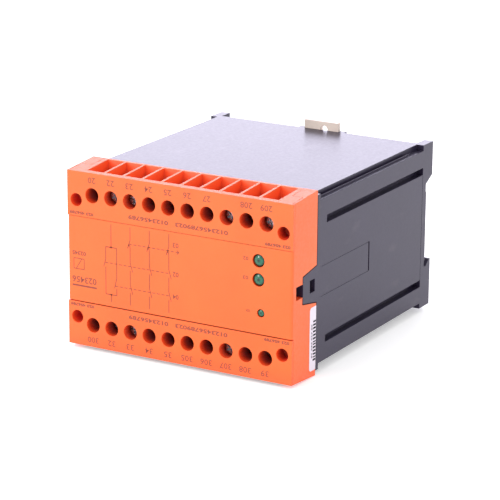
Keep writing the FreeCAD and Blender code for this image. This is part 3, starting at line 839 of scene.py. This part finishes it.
@dataclass
class PrintAndShadowSheet:
    """Flat print and painted shadow on one face of the relay, gathered in millimetres and built as
    one piece.
    """

    plane: Plane
    lift: float = 0.02
    mesh: bmesh.types.BMesh = field(default_factory=bmesh.new)

    def patch(self, corners: Sequence[Point]) -> None:
        """Add one flat patch, given counter-clockwise."""
        self.mesh.faces.new([self.mesh.verts.new((x * MM, y * MM, 0.0)) for x, y in corners])

    def bar(self, left: float, bottom: float, right: float, top: float) -> None:
        """Add a filled bar between two corners."""
        self.patch([(left, bottom), (right, bottom), (right, top), (left, top)])

    def disc(self, middle: Point, radius: float, steps: int = 20) -> None:
        """Add a filled dot."""
        angles = [math.tau * step / steps for step in range(steps)]
        self.patch([(middle[0] + radius * math.cos(angle), middle[1] + radius * math.sin(angle))
                    for angle in angles])

    def stroke(self, points: Sequence[Point], width: float, dash: float = 0.0,
               gap: float = 0.0) -> None:
        """Draw a line through points.

        Args:
            points: Corners of the line.
            width: Width of the line.
            dash: Length of one dash, or 0 for a whole line.
            gap: Space between two dashes.
        """
        shortest = 0.01
        for first, second in zip(points, points[1:]):
            start, run = Vector(first), Vector(second) - Vector(first)
            length, along = run.length, run.normalized()
            side = Vector((-along.y, along.x)) * width / 2
            at, step = 0.0, dash or length
            while at < length - shortest:
                near, far = start + along * at, start + along * min(at + step, length)
                self.patch([tuple(near - side), tuple(far - side), tuple(far + side),
                            tuple(near + side)])
                at += step + gap

    def write(self, figures: Figures) -> None:
        """Set a line of figures.

        Args:
            figures: What stands in the line, and where.
        """
        curve = bpy.data.curves.new("figures", "FONT")
        curve.body = figures.text
        curve.resolution_u = 2
        curve.offset = figures.weight
        source = bpy.data.objects.new("figures", curve)
        bpy.context.scene.collection.objects.link(source)
        bpy.context.view_layer.update()
        flat = bpy.data.meshes.new_from_object(source)
        spots = [vertex.co.copy() for vertex in flat.vertices]
        low = Vector((min(spot.x for spot in spots), min(spot.y for spot in spots), 0))
        high = Vector((max(spot.x for spot in spots), max(spot.y for spot in spots), 0))
        run, rise = figures.length / (high.x - low.x), figures.height / (high.y - low.y)
        placing = (Matrix.Translation(Vector((*figures.middle, 0)) * MM)
                   @ Matrix.Rotation(math.radians(figures.turn), 4, "Z")
                   @ Matrix.Diagonal((run * MM, rise * MM, 1.0, 1.0))
                   @ Matrix.Translation(-(low + high) / 2))
        flat.transform(placing)
        self.mesh.from_mesh(flat)
        bpy.data.objects.remove(source)
        bpy.data.curves.remove(curve)
        bpy.data.meshes.remove(flat)

    def build(self, name: str, origin: Vector, material: bpy.types.Material, body: str) -> None:
        """Build the gathered print, or the gathered strips of painted shadow.

        Args:
            name: Name of the piece.
            origin: Where the face's own origin stands, in metres.
            material: The ink, or the painted shadow's material.
            body: The body that carries the print.
        """
        outward = self.plane.value[2]
        self.mesh.transform(self.plane.placed(origin + outward * self.lift * MM))
        piece = piece_from(name, self.mesh, material)
        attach(piece, body)
        report(piece)


# --- sub-assemblies ---------------------------------------------------------------------------


@dataclass
class StripPrint:
    """Terminal numbers, the long lines of figures and the notes beside the pry holes.

    Insets are measured from the strip's outer edge towards the middle of the front.
    """

    row: Row
    numbers: Sequence[str]
    number_inset: float
    line_inset: float
    note_inset: float
    number_height: float = 2.4
    number_weight: float = 0.008
    number_shift: float = -0.1
    figure_width: float = 1.7
    lines: Sequence[tuple[str, float, float]] = (("0123456789023", 10.6, 23.2),
                                                 ("0123456789", -13.1, 18.0))
    line_height: float = 1.75
    line_weight: float = 0.03
    note: str = "023 456789"
    note_place: float = 43.5
    note_height: float = 1.3
    note_length: float = 10.9
    note_weight: float = 0.045

    def terminal(self, number: int) -> float:
        """Place of one terminal across the front, from the screw that stands in it.

        Args:
            number: The terminal, counted from the left.

        Returns:
            Its distance from the middle, to the right.
        """
        low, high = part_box(self.row.screw(number))
        return (low.x + high.x) / 2 / MM

    def build(self, outside: Outside, ink: bpy.types.Material) -> None:
        """Print the strip.

        Args:
            outside: The relay's outer faces.
            ink: The ink's material.
        """
        at_top = self.row is Row.UPPER
        edge, inward = (outside.top, -1) if at_top else (outside.bottom, 1)
        sheet = PrintAndShadowSheet(Plane.FRONT)
        for place, number in enumerate(self.numbers, start=1):
            if number:
                middle = (self.terminal(place) + self.number_shift,
                          edge + inward * self.number_inset)
                sheet.write(Figures(number, middle, self.number_height,
                                    self.figure_width * len(number), self.number_weight))
        for line, across, length in self.lines:
            middle = (across, edge + inward * self.line_inset)
            sheet.write(Figures(line, middle, self.line_height, length, self.line_weight))
        for side in Side:
            middle = (side.value * self.note_place, edge + inward * self.note_inset)
            sheet.write(Figures(self.note, middle, self.note_height, self.note_length,
                                self.note_weight))
        sheet.build(f"{self.row.body}_print", Vector((0, outside.front, 0)), ink, self.row.body)


@dataclass
class PanelPrint:
    """Contact diagram, light captions and plain figures on the middle panel.

    Attributes:
        poles: Places of the upright lines across the front.
        levels: Heights of the links that cross them.
        opening_blade: Blade of an opening contact, from where its pole crosses its link.
        opening_rest: What that blade rests on, from the same spot.
        opening_end: How far above the next link an opening contact's pole ends.
        closing_blade: Blade of a closing contact, from where its pole crosses its link.
        closing_rest: Where the pole goes on below that blade, from its link.
        branch_ends: Heights of the two nodes between which the first pole is branched.
        branches: Each branch's distance from its pole, the heights between which its blade
            stands, and how far the blade leans.
        links: Ends of each dashed link across the front.
        link_figures: Figures at each link, with how far above it they stand.
        link_figures_size: Their length and height.
        arrow_barb: How far the arrow's barbs reach back and to each side.
        captions: Figures beside each light, with their middle and height.
        caption_stretch: Length of a caption as a share of its height.
        symbol_slash: Where the symbol's slanted line starts below and ends above.
        underline: Left, lower, right and upper edge of the bar below the large figures.
    """

    line: float = 0.32
    dash: float = 1.35
    gap: float = 0.75
    poles: Sequence[float] = (-30.0, -21.3, -12.6, -3.85)
    pole_top: float = 52.6
    pole_bottom: float = 21.2
    levels: Sequence[float] = (45.9, 36.95, 28.0)

    opening_blade: Sequence[Point] = ((0.0, 1.6), (-1.15, -1.8))
    opening_rest: Sequence[Point] = ((-0.95, -0.6), (-0.1, -0.6), (0.0, -1.7))
    opening_end: float = 1.4
    closing_blade: Sequence[Point] = ((0.0, 1.5), (1.1, -2.2))
    closing_rest: float = -1.7

    branch_ends: Span = (43.3, 24.2)
    branches: Sequence[tuple[float, Span, float]] = ((-2.5, (38.4, 35.2), -0.9),
                                                     (2.5, (31.3, 27.0), -1.0))
    node_radius: float = 0.42

    links: Sequence[Span] = ((-21.9, 0.35), (-32.7, -3.35), (-28.2, -3.35))
    link_figures: Sequence[tuple[str, float]] = (("03", 2.6), ("02", 0.0), ("04", 0.0))
    link_figures_place: float = -0.8
    link_figures_size: Point = (2.6, 2.0)
    arrow_tip: float = 0.65
    arrow_barb: Point = (0.9, 0.8)
    pivot_shift: float = -0.05
    pivot_radius: float = 0.28

    captions: Sequence[tuple[str, Point, float]] = (
        ("02", (29.9, 48.3), 1.45), ("03", (29.9, 40.75), 1.45), ("0234", (31.0, 27.9), 1.1))
    caption_stretch: float = 1.6
    caption_weight: float = 0.02

    symbol_left: float = -47.3
    symbol_right: float = -42.5
    symbol_bottom: float = 32.4
    symbol_top: float = 36.6
    symbol_slash: Span = (-46.2, -43.6)
    symbol_line: float = 0.3
    small_figures: Figures = Figures("02345", (-44.8, 38.8), height=1.7, length=6.3, weight=0.03)
    large_figures: Figures = Figures("023456", (-42.5, 28.1), height=2.6, length=11.3)
    underline: Sequence[float] = (-48.1, 25.3, -36.8, 26.0)

    def build(self, outside: Outside, ink: bpy.types.Material) -> None:
        """Print the panel.

        Args:
            outside: The relay's outer faces.
            ink: The ink's material.
        """
        sheet = PrintAndShadowSheet(Plane.FRONT)
        self.draw_branched_pole(sheet)
        for pole in self.poles[1:]:
            self.draw_pole(sheet, pole)
        self.draw_links(sheet)
        self.draw_captions(sheet)
        self.draw_left_block(sheet)
        sheet.build("panel_print", Vector((0, outside.front, 0)), ink, HOUSING)

    def draw_pole(self, sheet: PrintAndShadowSheet, across: float) -> None:
        """Draw one pole: an opening contact at the top link and two closing contacts below.

        Args:
            sheet: Where to draw.
            across: Place of the pole.
        """
        upper, middle, lower = self.levels
        blade = shifted(self.opening_blade, across, upper)
        sheet.stroke([(across, self.pole_top), blade[0]], self.line)
        sheet.stroke(blade, self.line)
        sheet.stroke([*shifted(self.opening_rest, across, upper),
                      (across, middle + self.opening_end)], self.line)
        above = self.closing_blade[0][1]
        for level, end in ((middle, lower + above), (lower, self.pole_bottom)):
            sheet.stroke(shifted(self.closing_blade, across, level), self.line)
            sheet.stroke([(across, level + self.closing_rest), (across, end)], self.line)

    def draw_branched_pole(self, sheet: PrintAndShadowSheet) -> None:
        """Draw the first pole, whose two branches stand side by side between two nodes.

        Args:
            sheet: Where to draw.
        """
        across = self.poles[0]
        top, bottom = self.branch_ends
        sheet.stroke([(across, self.pole_top), (across, top)], self.line)
        sheet.stroke([(across, bottom), (across, self.pole_bottom)], self.line)
        sides = [across + branch[0] for branch in self.branches]
        for level in self.branch_ends:
            sheet.disc((across, level), self.node_radius)
            sheet.stroke([(side, level) for side in sides], self.line)
        for side, (_, (blade_top, blade_bottom), lean) in zip(sides, self.branches):
            sheet.stroke([(side, top), (side, blade_top)], self.line)
            sheet.stroke([(side, blade_top), (side + lean, blade_bottom)], self.line)
            sheet.stroke([(side, blade_bottom), (side, bottom)], self.line)

    def draw_links(self, sheet: PrintAndShadowSheet) -> None:
        """Draw the dashed links between the contacts that move together, with their figures.

        Args:
            sheet: Where to draw.
        """
        for (start, end), level in zip(self.links, self.levels):
            sheet.stroke([(start, level), (end, level)], self.line, self.dash, self.gap)
        upper = self.levels[0]
        back, spread = self.arrow_barb
        for side in (1, -1):
            sheet.stroke([(self.arrow_tip - back, upper + side * spread),
                          (self.arrow_tip, upper)], self.line)
        for pole in self.poles[2:]:
            sheet.disc((pole + self.pivot_shift, upper), self.pivot_radius)
        length, height = self.link_figures_size
        for (figures, above), level in zip(self.link_figures, self.levels):
            middle = (self.link_figures_place, level + above)
            sheet.write(Figures(figures, middle, height, length))

    def draw_captions(self, sheet: PrintAndShadowSheet) -> None:
        """Write the plain figures beside the lights.

        Args:
            sheet: Where to draw.
        """
        for figures, middle, height in self.captions:
            length = height * self.caption_stretch
            sheet.write(Figures(figures, middle, height, length, self.caption_weight))

    def draw_left_block(self, sheet: PrintAndShadowSheet) -> None:
        """Draw the plain figures and the coil symbol in the block at the panel's left edge.

        Args:
            sheet: Where to draw.
        """
        left, right = self.symbol_left, self.symbol_right
        bottom, top = self.symbol_bottom, self.symbol_top
        sheet.write(self.small_figures)
        sheet.stroke([(left, top), (right, top), (right, bottom), (left, bottom), (left, top)],
                     self.symbol_line)
        sheet.stroke(list(zip(self.symbol_slash, (bottom, top))), self.symbol_line)
        sheet.write(self.large_figures)
        sheet.bar(*self.underline)


@dataclass
class EdgeLabel:
    """Bar-coded paper label on the right side of the front, cut off by the case.

    Depths run back from the front face. The widths in bars are of a bar and a space in turn.
    """

    front_depth: float = 13.8
    rear_depth: float = 18.7
    bottom: float = 2.6
    top: float = 28.0
    corner: float = 1.4
    thickness: float = 0.08
    print_lift: float = 0.02
    bars_front: float = 16.4
    bars_margin: float = 0.2
    bars_bottom: float = 6.4
    bars: Sequence[float] = (0.8, 0.5, 0.5, 0.6, 0.7, 0.55, 0.75, 0.6, 0.75, 0.6, 0.55, 0.45, 0.55,
                             0.6, 0.8, 0.6, 0.75, 0.65, 0.75, 0.6, 0.8, 0.55, 0.75, 0.6, 0.7)
    figures: Figures = Figures("01 234 567 89", (15.5, 14.5), height=0.8, length=13.5,
                               weight=0.04, turn=90.0)
    paper: LabelPaper = LabelPaper()
    ink: InkAndPaintedShadow = InkAndPaintedShadow("label_ink", (0.008, 0.007, 0.014), (0.2, 0.2, 0.22), thin=0.05,
                                 sheen=0.04)

    def outline(self, steps: int = 6) -> list[Point]:
        """Outline with the two front corners rounded, counter-clockwise from outside.

        Args:
            steps: Number of steps round a corner.

        Returns:
            Corners as (depth, height).
        """
        points = [(self.rear_depth, self.bottom), (self.rear_depth, self.top)]
        middles = (self.top - self.corner, self.bottom + self.corner)
        for quarter, middle in enumerate(middles, start=1):
            for step in range(steps + 1):
                angle = math.pi / 2 * (quarter + step / steps)
                points.append((self.front_depth + self.corner * (1 + math.cos(angle)),
                               middle + self.corner * math.sin(angle)))
        return points

    def build(self, outside: Outside) -> None:
        """Build the paper and its bars.

        Args:
            outside: The relay's outer faces.
        """
        origin = Vector((outside.half_width, outside.front, 0))
        corners = [Vector((depth * MM, rise * MM, 0.0)) for depth, rise in self.outline()]
        mesh = thickened(corners, Vector((0, 0, self.thickness * MM)))
        mesh.transform(Plane.RIGHT.placed(origin))
        paper = piece_from("edge_label_paper", mesh, self.paper.make())
        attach(paper, HOUSING)
        report(paper)
        sheet = PrintAndShadowSheet(Plane.RIGHT, self.thickness + self.print_lift)
        at = self.bars_bottom
        for number, width in enumerate(self.bars):
            if number % 2 == 0:
                sheet.bar(self.bars_front, at, self.rear_depth - self.bars_margin, at + width)
            at += width
        sheet.write(self.figures)
        sheet.build("edge_label_print", origin, self.ink.make(), HOUSING)


@dataclass
class JointShadowStrips:
    """Narrow strips of painted shadow where the front meets the case, and round each snap tab.

    Depths run back from the front face, and the tab's and pocket's sizes are half heights.
    """

    width: float = 0.4
    lift: float = 0.01
    case_front: float = 18.9
    case_inset: float = 0.25
    tab_root: float = 7.33
    tab_end: float = 5.38
    pocket: float = 2.75
    # Flat dark material for painted shadow: the model has no gap at these joints.
    shadow: InkAndPaintedShadow = InkAndPaintedShadow("joint_shadow", (0.02, 0.008, 0.012), (0.035, 0.018, 0.02),
                                    sheen=0.02)

    def build(self, outside: Outside) -> None:
        """Lay the strips of painted shadow on both sides.

        Args:
            outside: The relay's outer faces.
        """
        dark = self.shadow.make()
        tip, middle = outside.tab_tip - self.width / 2, outside.middle
        ends = ((1, outside.case_top - self.case_inset),
                (-1, outside.case_bottom + self.case_inset))
        for side in Side:
            sheet = PrintAndShadowSheet(Plane[side.name], self.lift)
            for up, end in ends:
                corners = [(self.case_front, end), (self.case_front, middle + up * self.tab_root),
                           (tip, middle + up * self.tab_end), (tip, middle + up * self.pocket)]
                sheet.stroke([(side.value * depth, rise) for depth, rise in corners], self.width)
            origin = Vector((side.value * outside.half_width, outside.front, 0))
            sheet.build(f"joint_shadow_strip_{side.label}", origin, dark, HOUSING)


@dataclass
class WindowCollars:
    """Lips round the windows of the two snap tabs, which reach into the front's pockets.

    Depths run back from the front face. Outer and inner are how far in from the relay's side
    the lip starts and ends.
    """

    start: float = 14.6
    end: float = 17.43
    half_height: float = 2.58
    lip: float = 0.08
    outer: float = 1.12
    inner: float = 3.4

    def outline(self) -> list[Point]:
        """Outline of a lip that is open towards the front.

        Returns:
            Corners as (depth, height from the middle).
        """
        half, inset, back = self.half_height, self.half_height - self.lip, self.end - self.lip
        return [(self.start, -half), (self.end, -half), (self.end, half), (self.start, half),
                (self.start, inset), (back, inset), (back, -inset), (self.start, -inset)]

    def build(self, outside: Outside, material: bpy.types.Material) -> None:
        """Build one lip on each side.

        Args:
            outside: The relay's outer faces.
            material: The case's plastic.
        """
        inward = (self.outer - self.inner) * MM
        for side in Side:
            across = side.value * (outside.half_width - self.outer * MM)
            corners = [Vector((across, outside.front + depth * MM, (outside.middle + rise) * MM))
                       for depth, rise in self.outline()]
            mesh = thickened(corners, Vector((side.value * inward, 0, 0)))
            collar = piece_from(f"window_collar_{side.label}", mesh, material)
            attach(collar, HOUSING)
            report(collar)


@dataclass
class TerminalScrews:
    """Plated clamping screws with a combined slot and cross recess and a cut thread.

    Slot and cross are given as length and width, and the chamfers of rim and point as how
    much they take off the radius and how long they are. Turns are in degrees, from the left.
    """

    head_radius: float = 2.7
    head_height: float = 1.9
    head_dome: Sequence[Point] = ((0.0, 0.0), (1.3, 0.03), (2.2, 0.16), (2.52, 0.32), (2.7, 0.62))
    rim_chamfer: Point = (0.15, 0.2)
    thread_radius: float = 1.75
    root_radius: float = 1.42
    length: float = 7.4
    pitch: float = 0.6
    rows_per_turn: int = 5
    neck: float = 0.02
    thread_start: float = 0.05
    thread_stop: float = 0.3
    point_chamfer: Point = (0.3, 0.25)
    slot: Point = (5.6, 0.8)
    cross: Point = (3.3, 0.85)
    recess_depth: float = 0.95
    smooth: float = 35.0
    turns: Sequence[float] = (20.0, 65.0, 10.0, 130.0, 85.0, 40.0, 155.0, 55.0, 100.0, 75.0)
    plating: PlatedMetal = PlatedMetal("zinc_screw_plating", (0.34, 0.35, 0.38), roughness=0.2,
                                       drawn=(1.0, 1.0, 1.0))

    def profile(self) -> list[Point]:
        """Profile of the head and of the shank before its thread is cut.

        Returns:
            Points as (radius, depth).
        """
        rim = [(self.head_radius, self.head_height - self.rim_chamfer[1]),
               (self.head_radius - self.rim_chamfer[0], self.head_height)]
        rows = [(self.root_radius, self.head_height + self.neck)]
        depth = self.head_height + self.thread_start
        while depth < self.length - self.thread_stop:
            rows.append((self.thread_radius, depth))
            depth += self.pitch / self.rows_per_turn
        point = [(self.root_radius, self.length - self.point_chamfer[1]),
                 (self.root_radius - self.point_chamfer[0], self.length), (0.0, self.length)]
        return [*self.head_dome, *rim, *rows, *point]

    def threaded(self, steps: int = 24) -> bmesh.types.BMesh:
        """Turn head and shank, and cut the thread in by the angle round the axis.

        Args:
            steps: Number of steps round the axis.

        Returns:
            The mesh of the screw without its recess.
        """
        mesh = turned(self.profile(), steps)
        close = 1e-6
        for vertex in mesh.verts:
            radius = math.hypot(vertex.co.x, vertex.co.z)
            if abs(radius - self.thread_radius * MM) > close:
                continue
            angle = math.atan2(vertex.co.z, vertex.co.x) / math.tau
            phase = (vertex.co.y / (self.pitch * MM) + angle) % 1.0
            crest = 1.0 - abs(2.0 * phase - 1.0)
            wanted = self.root_radius + (self.thread_radius - self.root_radius) * crest
            vertex.co.x *= wanted * MM / radius
            vertex.co.z *= wanted * MM / radius
        return mesh

    def recess(self) -> bmesh.types.BMesh:
        """Two crossed bars that cut the slot and the cross.

        Returns:
            The mesh of both bars, sunk half way into the head.
        """
        mesh = bmesh.new()
        slot_length, slot_width = self.slot
        cross_length, cross_width = self.cross
        for across, rise in ((slot_length, slot_width), (cross_width, cross_length)):
            size = Matrix.Diagonal((across * MM, self.recess_depth * 2 * MM, rise * MM, 1.0))
            bmesh.ops.create_cube(mesh, size=1.0, matrix=size)
        return mesh

    def finished(self) -> bpy.types.Mesh:
        """Cut the recess into the head.

        Returns:
            The finished mesh that every screw shares.
        """
        material = self.plating.make()
        blank = piece_from("screw_blank", self.threaded(), material, self.smooth)
        cutter = piece_from("recess_cutter", self.recess(), material)
        cut = blank.modifiers.new("recess", "BOOLEAN")
        cut.operation = "DIFFERENCE"
        cut.solver = "EXACT"
        cut.use_self = True
        cut.object = cutter
        bpy.context.view_layer.update()
        seen = blank.evaluated_get(bpy.context.evaluated_depsgraph_get())
        screw = bpy.data.meshes.new_from_object(seen)
        screw.name = "terminal_screw"
        for spare in (blank, cutter):
            bpy.data.objects.remove(spare)
        return screw

    def build(self) -> None:
        """Stand one detailed screw in the place of each packed screw."""
        mesh = self.finished()
        for row in Row:
            for number, turn in enumerate(self.turns, start=1):
                node = row.screw(number)
                low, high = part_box(node)
                middle = (low + high) / 2
                screw = bpy.data.objects.new(f"detailed_{node}", mesh)
                bpy.context.scene.collection.objects.link(screw)
                screw.matrix_world = (Matrix.Translation((middle.x, low.y, middle.z))
                                      @ Matrix.Rotation(math.radians(turn), 4, "Y"))
                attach(screw, node)
                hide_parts(node)
                report(screw)


@dataclass
class StatusLights:
    """Domed lenses that stand in the panel's sleeves.

    The bulge is the dome's height as a share of its radius.
    """

    diameters: Sequence[float] = (5.0, 5.0, 3.0)
    bulge: float = 0.4
    collar: float = 0.5
    base: float = 1.0
    steps: int = 64
    smooth: float = 40.0

    def profile(self, radius: float, length: float, steps: int = 12) -> list[Point]:
        """Profile of one lens.

        Args:
            radius: Radius of the dome.
            length: Length from the tip to the rear.
            steps: Number of steps from the tip to the dome's edge.

        Returns:
            Points as (radius, depth).
        """
        angles = [math.pi / 2 * step / steps for step in range(steps + 1)]
        dome = [(radius * math.sin(angle), radius * self.bulge * (1 - math.cos(angle)))
                for angle in angles]
        rear, wide = length - self.base, radius + self.collar
        return [*dome, (radius, rear), (wide, rear), (wide, length), (0.0, length)]

    def build(self) -> None:
        """Stand a smooth lens in the place of each packed light."""
        for number, diameter in enumerate(self.diameters, start=1):
            node = f"status_light_{number}"
            low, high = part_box(node)
            profile = self.profile(diameter / 2, (high.y - low.y) / MM)
            lens = TintedLens(f"green_lens_{number}", diameter / 2).make()
            mesh = turned(profile, self.steps)
            dome = piece_from(f"lens_{number}", mesh, lens, self.smooth)
            dome.location = ((low.x + high.x) / 2, low.y, (low.z + high.z) / 2)
            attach(dome, HOUSING)
            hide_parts(node)
            report(dome)


# --- studio -----------------------------------------------------------------------------------


@dataclass(frozen=True)
class Softbox:
    """One soft light. Its place and size are in metres, its power in watts."""

    name: str
    place: tuple[float, float, float]
    wide: float
    high: float
    power: float
    colour: Colour = WHITE

    def hang(self, target: Vector) -> None:
        """Hang the light.

        Args:
            target: What it faces, in metres.
        """
        light = bpy.data.lights.new(self.name, "AREA")
        light.shape = "RECTANGLE"
        light.size = self.wide
        light.size_y = self.high
        light.energy = self.power
        light.color = self.colour
        box = bpy.data.objects.new(self.name, light)
        place = Vector(self.place)
        facing = (target - place).to_track_quat("-Z", "Y").to_matrix().to_4x4()
        box.matrix_world = Matrix.Translation(place) @ facing
        box.visible_camera = False
        bpy.context.scene.collection.objects.link(box)


@dataclass
class Studio:
    """Pale floor, even surround, soft lights and the camera.

    Places and sizes are in metres and turns in degrees. The floor's mottle and relief, the
    focal length and the sensor are in millimetres.
    """

    floor_size: float = 14.0
    floor_drop: float = 0.0002
    floor_parts: int = 4
    floor_tones: tuple[Colour, Colour] = ((0.9, 0.9, 0.9), (0.92, 0.92, 0.92))
    floor_roughness: Span = (0.7, 0.8)
    floor_mottle: float = 40.0
    floor_relief: float = 0.05
    floor_glow: float = 0.35
    surround: float = 1.0
    target: tuple[float, float, float] = (0.0, 0.0, 0.036)
    softboxes: Sequence[Softbox] = (
        Softbox("key_softbox", (-0.9, -1.5, 1.5), 1.3, 1.3, 13.5),
        Softbox("side_softbox", (1.7, -0.5, 0.8), 1.0, 1.2, 4.0),
        Softbox("rear_softbox", (-1.05, 1.85, 0.85), 3.2, 1.5, 54.0, (0.85, 0.81, 1.0)),
        Softbox("catch_light", (-0.5, -0.92, 0.27), 0.26, 0.24, 2.4),
    )
    camera_place: tuple[float, float, float] = (0.45994, -0.81053, 0.30586)
    yaw: float = 29.676
    pitch: float = 16.374
    roll: float = 0.452
    focal_length: float = 174.18
    sensor_width: float = 36.0
    nearest: float = 0.01
    farthest: float = 50.0

    def build(self) -> None:
        """Build the whole studio."""
        self.make_floor()
        self.make_surround()
        for softbox in self.softboxes:
            softbox.hang(Vector(self.target))
        self.make_camera()

    def make_floor(self) -> None:
        """Lay a pale floor with a faint mottle."""
        mesh = bmesh.new()
        bmesh.ops.create_grid(mesh, x_segments=self.floor_parts, y_segments=self.floor_parts,
                              size=self.floor_size / 2)
        shader = Shader("pale_floor")
        mottle = shader.noise(self.floor_mottle, PLAIN_NOISE)
        shader.colour(shader.mixed(shader.between(mottle, 0.0, 1.0), *self.floor_tones))
        shader.roughness(shader.between(mottle, *self.floor_roughness))
        shader.relief([(mottle, self.floor_relief)])
        shader.constant(Emission_Color=(*WHITE, 1.0), Emission_Strength=self.floor_glow)
        floor = piece_from("studio_floor", mesh, shader.material)
        floor.location.z = -self.floor_drop

    def make_surround(self) -> None:
        """Light the scene evenly from all sides."""
        world = bpy.data.worlds.new("studio_surround")
        world.use_nodes = True
        background = world.node_tree.nodes["Background"]
        background.inputs["Color"].default_value = (*WHITE, 1.0)
        background.inputs["Strength"].default_value = self.surround
        bpy.context.scene.world = world

    def make_camera(self) -> None:
        """Set up the camera at the given viewing angle."""
        yaw, pitch, roll = (math.radians(angle) for angle in (self.yaw, self.pitch, self.roll))
        ahead = Vector((-math.sin(yaw) * math.cos(pitch), math.cos(yaw) * math.cos(pitch),
                        -math.sin(pitch)))
        level = ahead.cross(Vector((0, 0, 1))).normalized()
        above = level.cross(ahead)
        right = level * math.cos(roll) + above * math.sin(roll)
        over = above * math.cos(roll) - level * math.sin(roll)
        lens = bpy.data.cameras.new("viewing_camera")
        lens.lens = self.focal_length
        lens.sensor_width = self.sensor_width
        lens.clip_start = self.nearest
        lens.clip_end = self.farthest
        camera = bpy.data.objects.new("viewing_camera", lens)
        axes = Matrix((right, over, -ahead)).transposed().to_4x4()
        camera.matrix_world = Matrix.Translation(self.camera_place) @ axes
        bpy.context.scene.collection.objects.link(camera)
        bpy.context.scene.camera = camera
        bpy.context.scene.view_settings.view_transform = "Standard"


def main() -> None:
    """Load the model, set up the studio, dress the nodes and add the detailed pieces."""
    logging.basicConfig(level=logging.INFO, format="%(message)s")
    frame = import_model()
    Studio().build()
    finishes = Finishes()
    materials = finishes.dress(frame["nodes"])
    outside = Outside.read()
    ink = finishes.ink.make()
    upper = ("20", "22", "23", "24", "25", "26", "27", "", "208", "209")
    lower = ("300", "32", "33", "34", "35", "305", "306", "307", "308", "39")
    StripPrint(Row.UPPER, upper, number_inset=4.25, line_inset=16.25,
               note_inset=17.9).build(outside, ink)
    StripPrint(Row.LOWER, lower, number_inset=4.15, line_inset=16.5,
               note_inset=17.8).build(outside, ink)
    PanelPrint().build(outside, ink)
    EdgeLabel().build(outside)
    # Strips of painted shadow along the joints of front and case.
    JointShadowStrips().build(outside)
    WindowCollars().build(outside, materials[finishes.case.name])
    TerminalScrews().build()
    StatusLights().build()


if __name__ == "__main__":
    main()
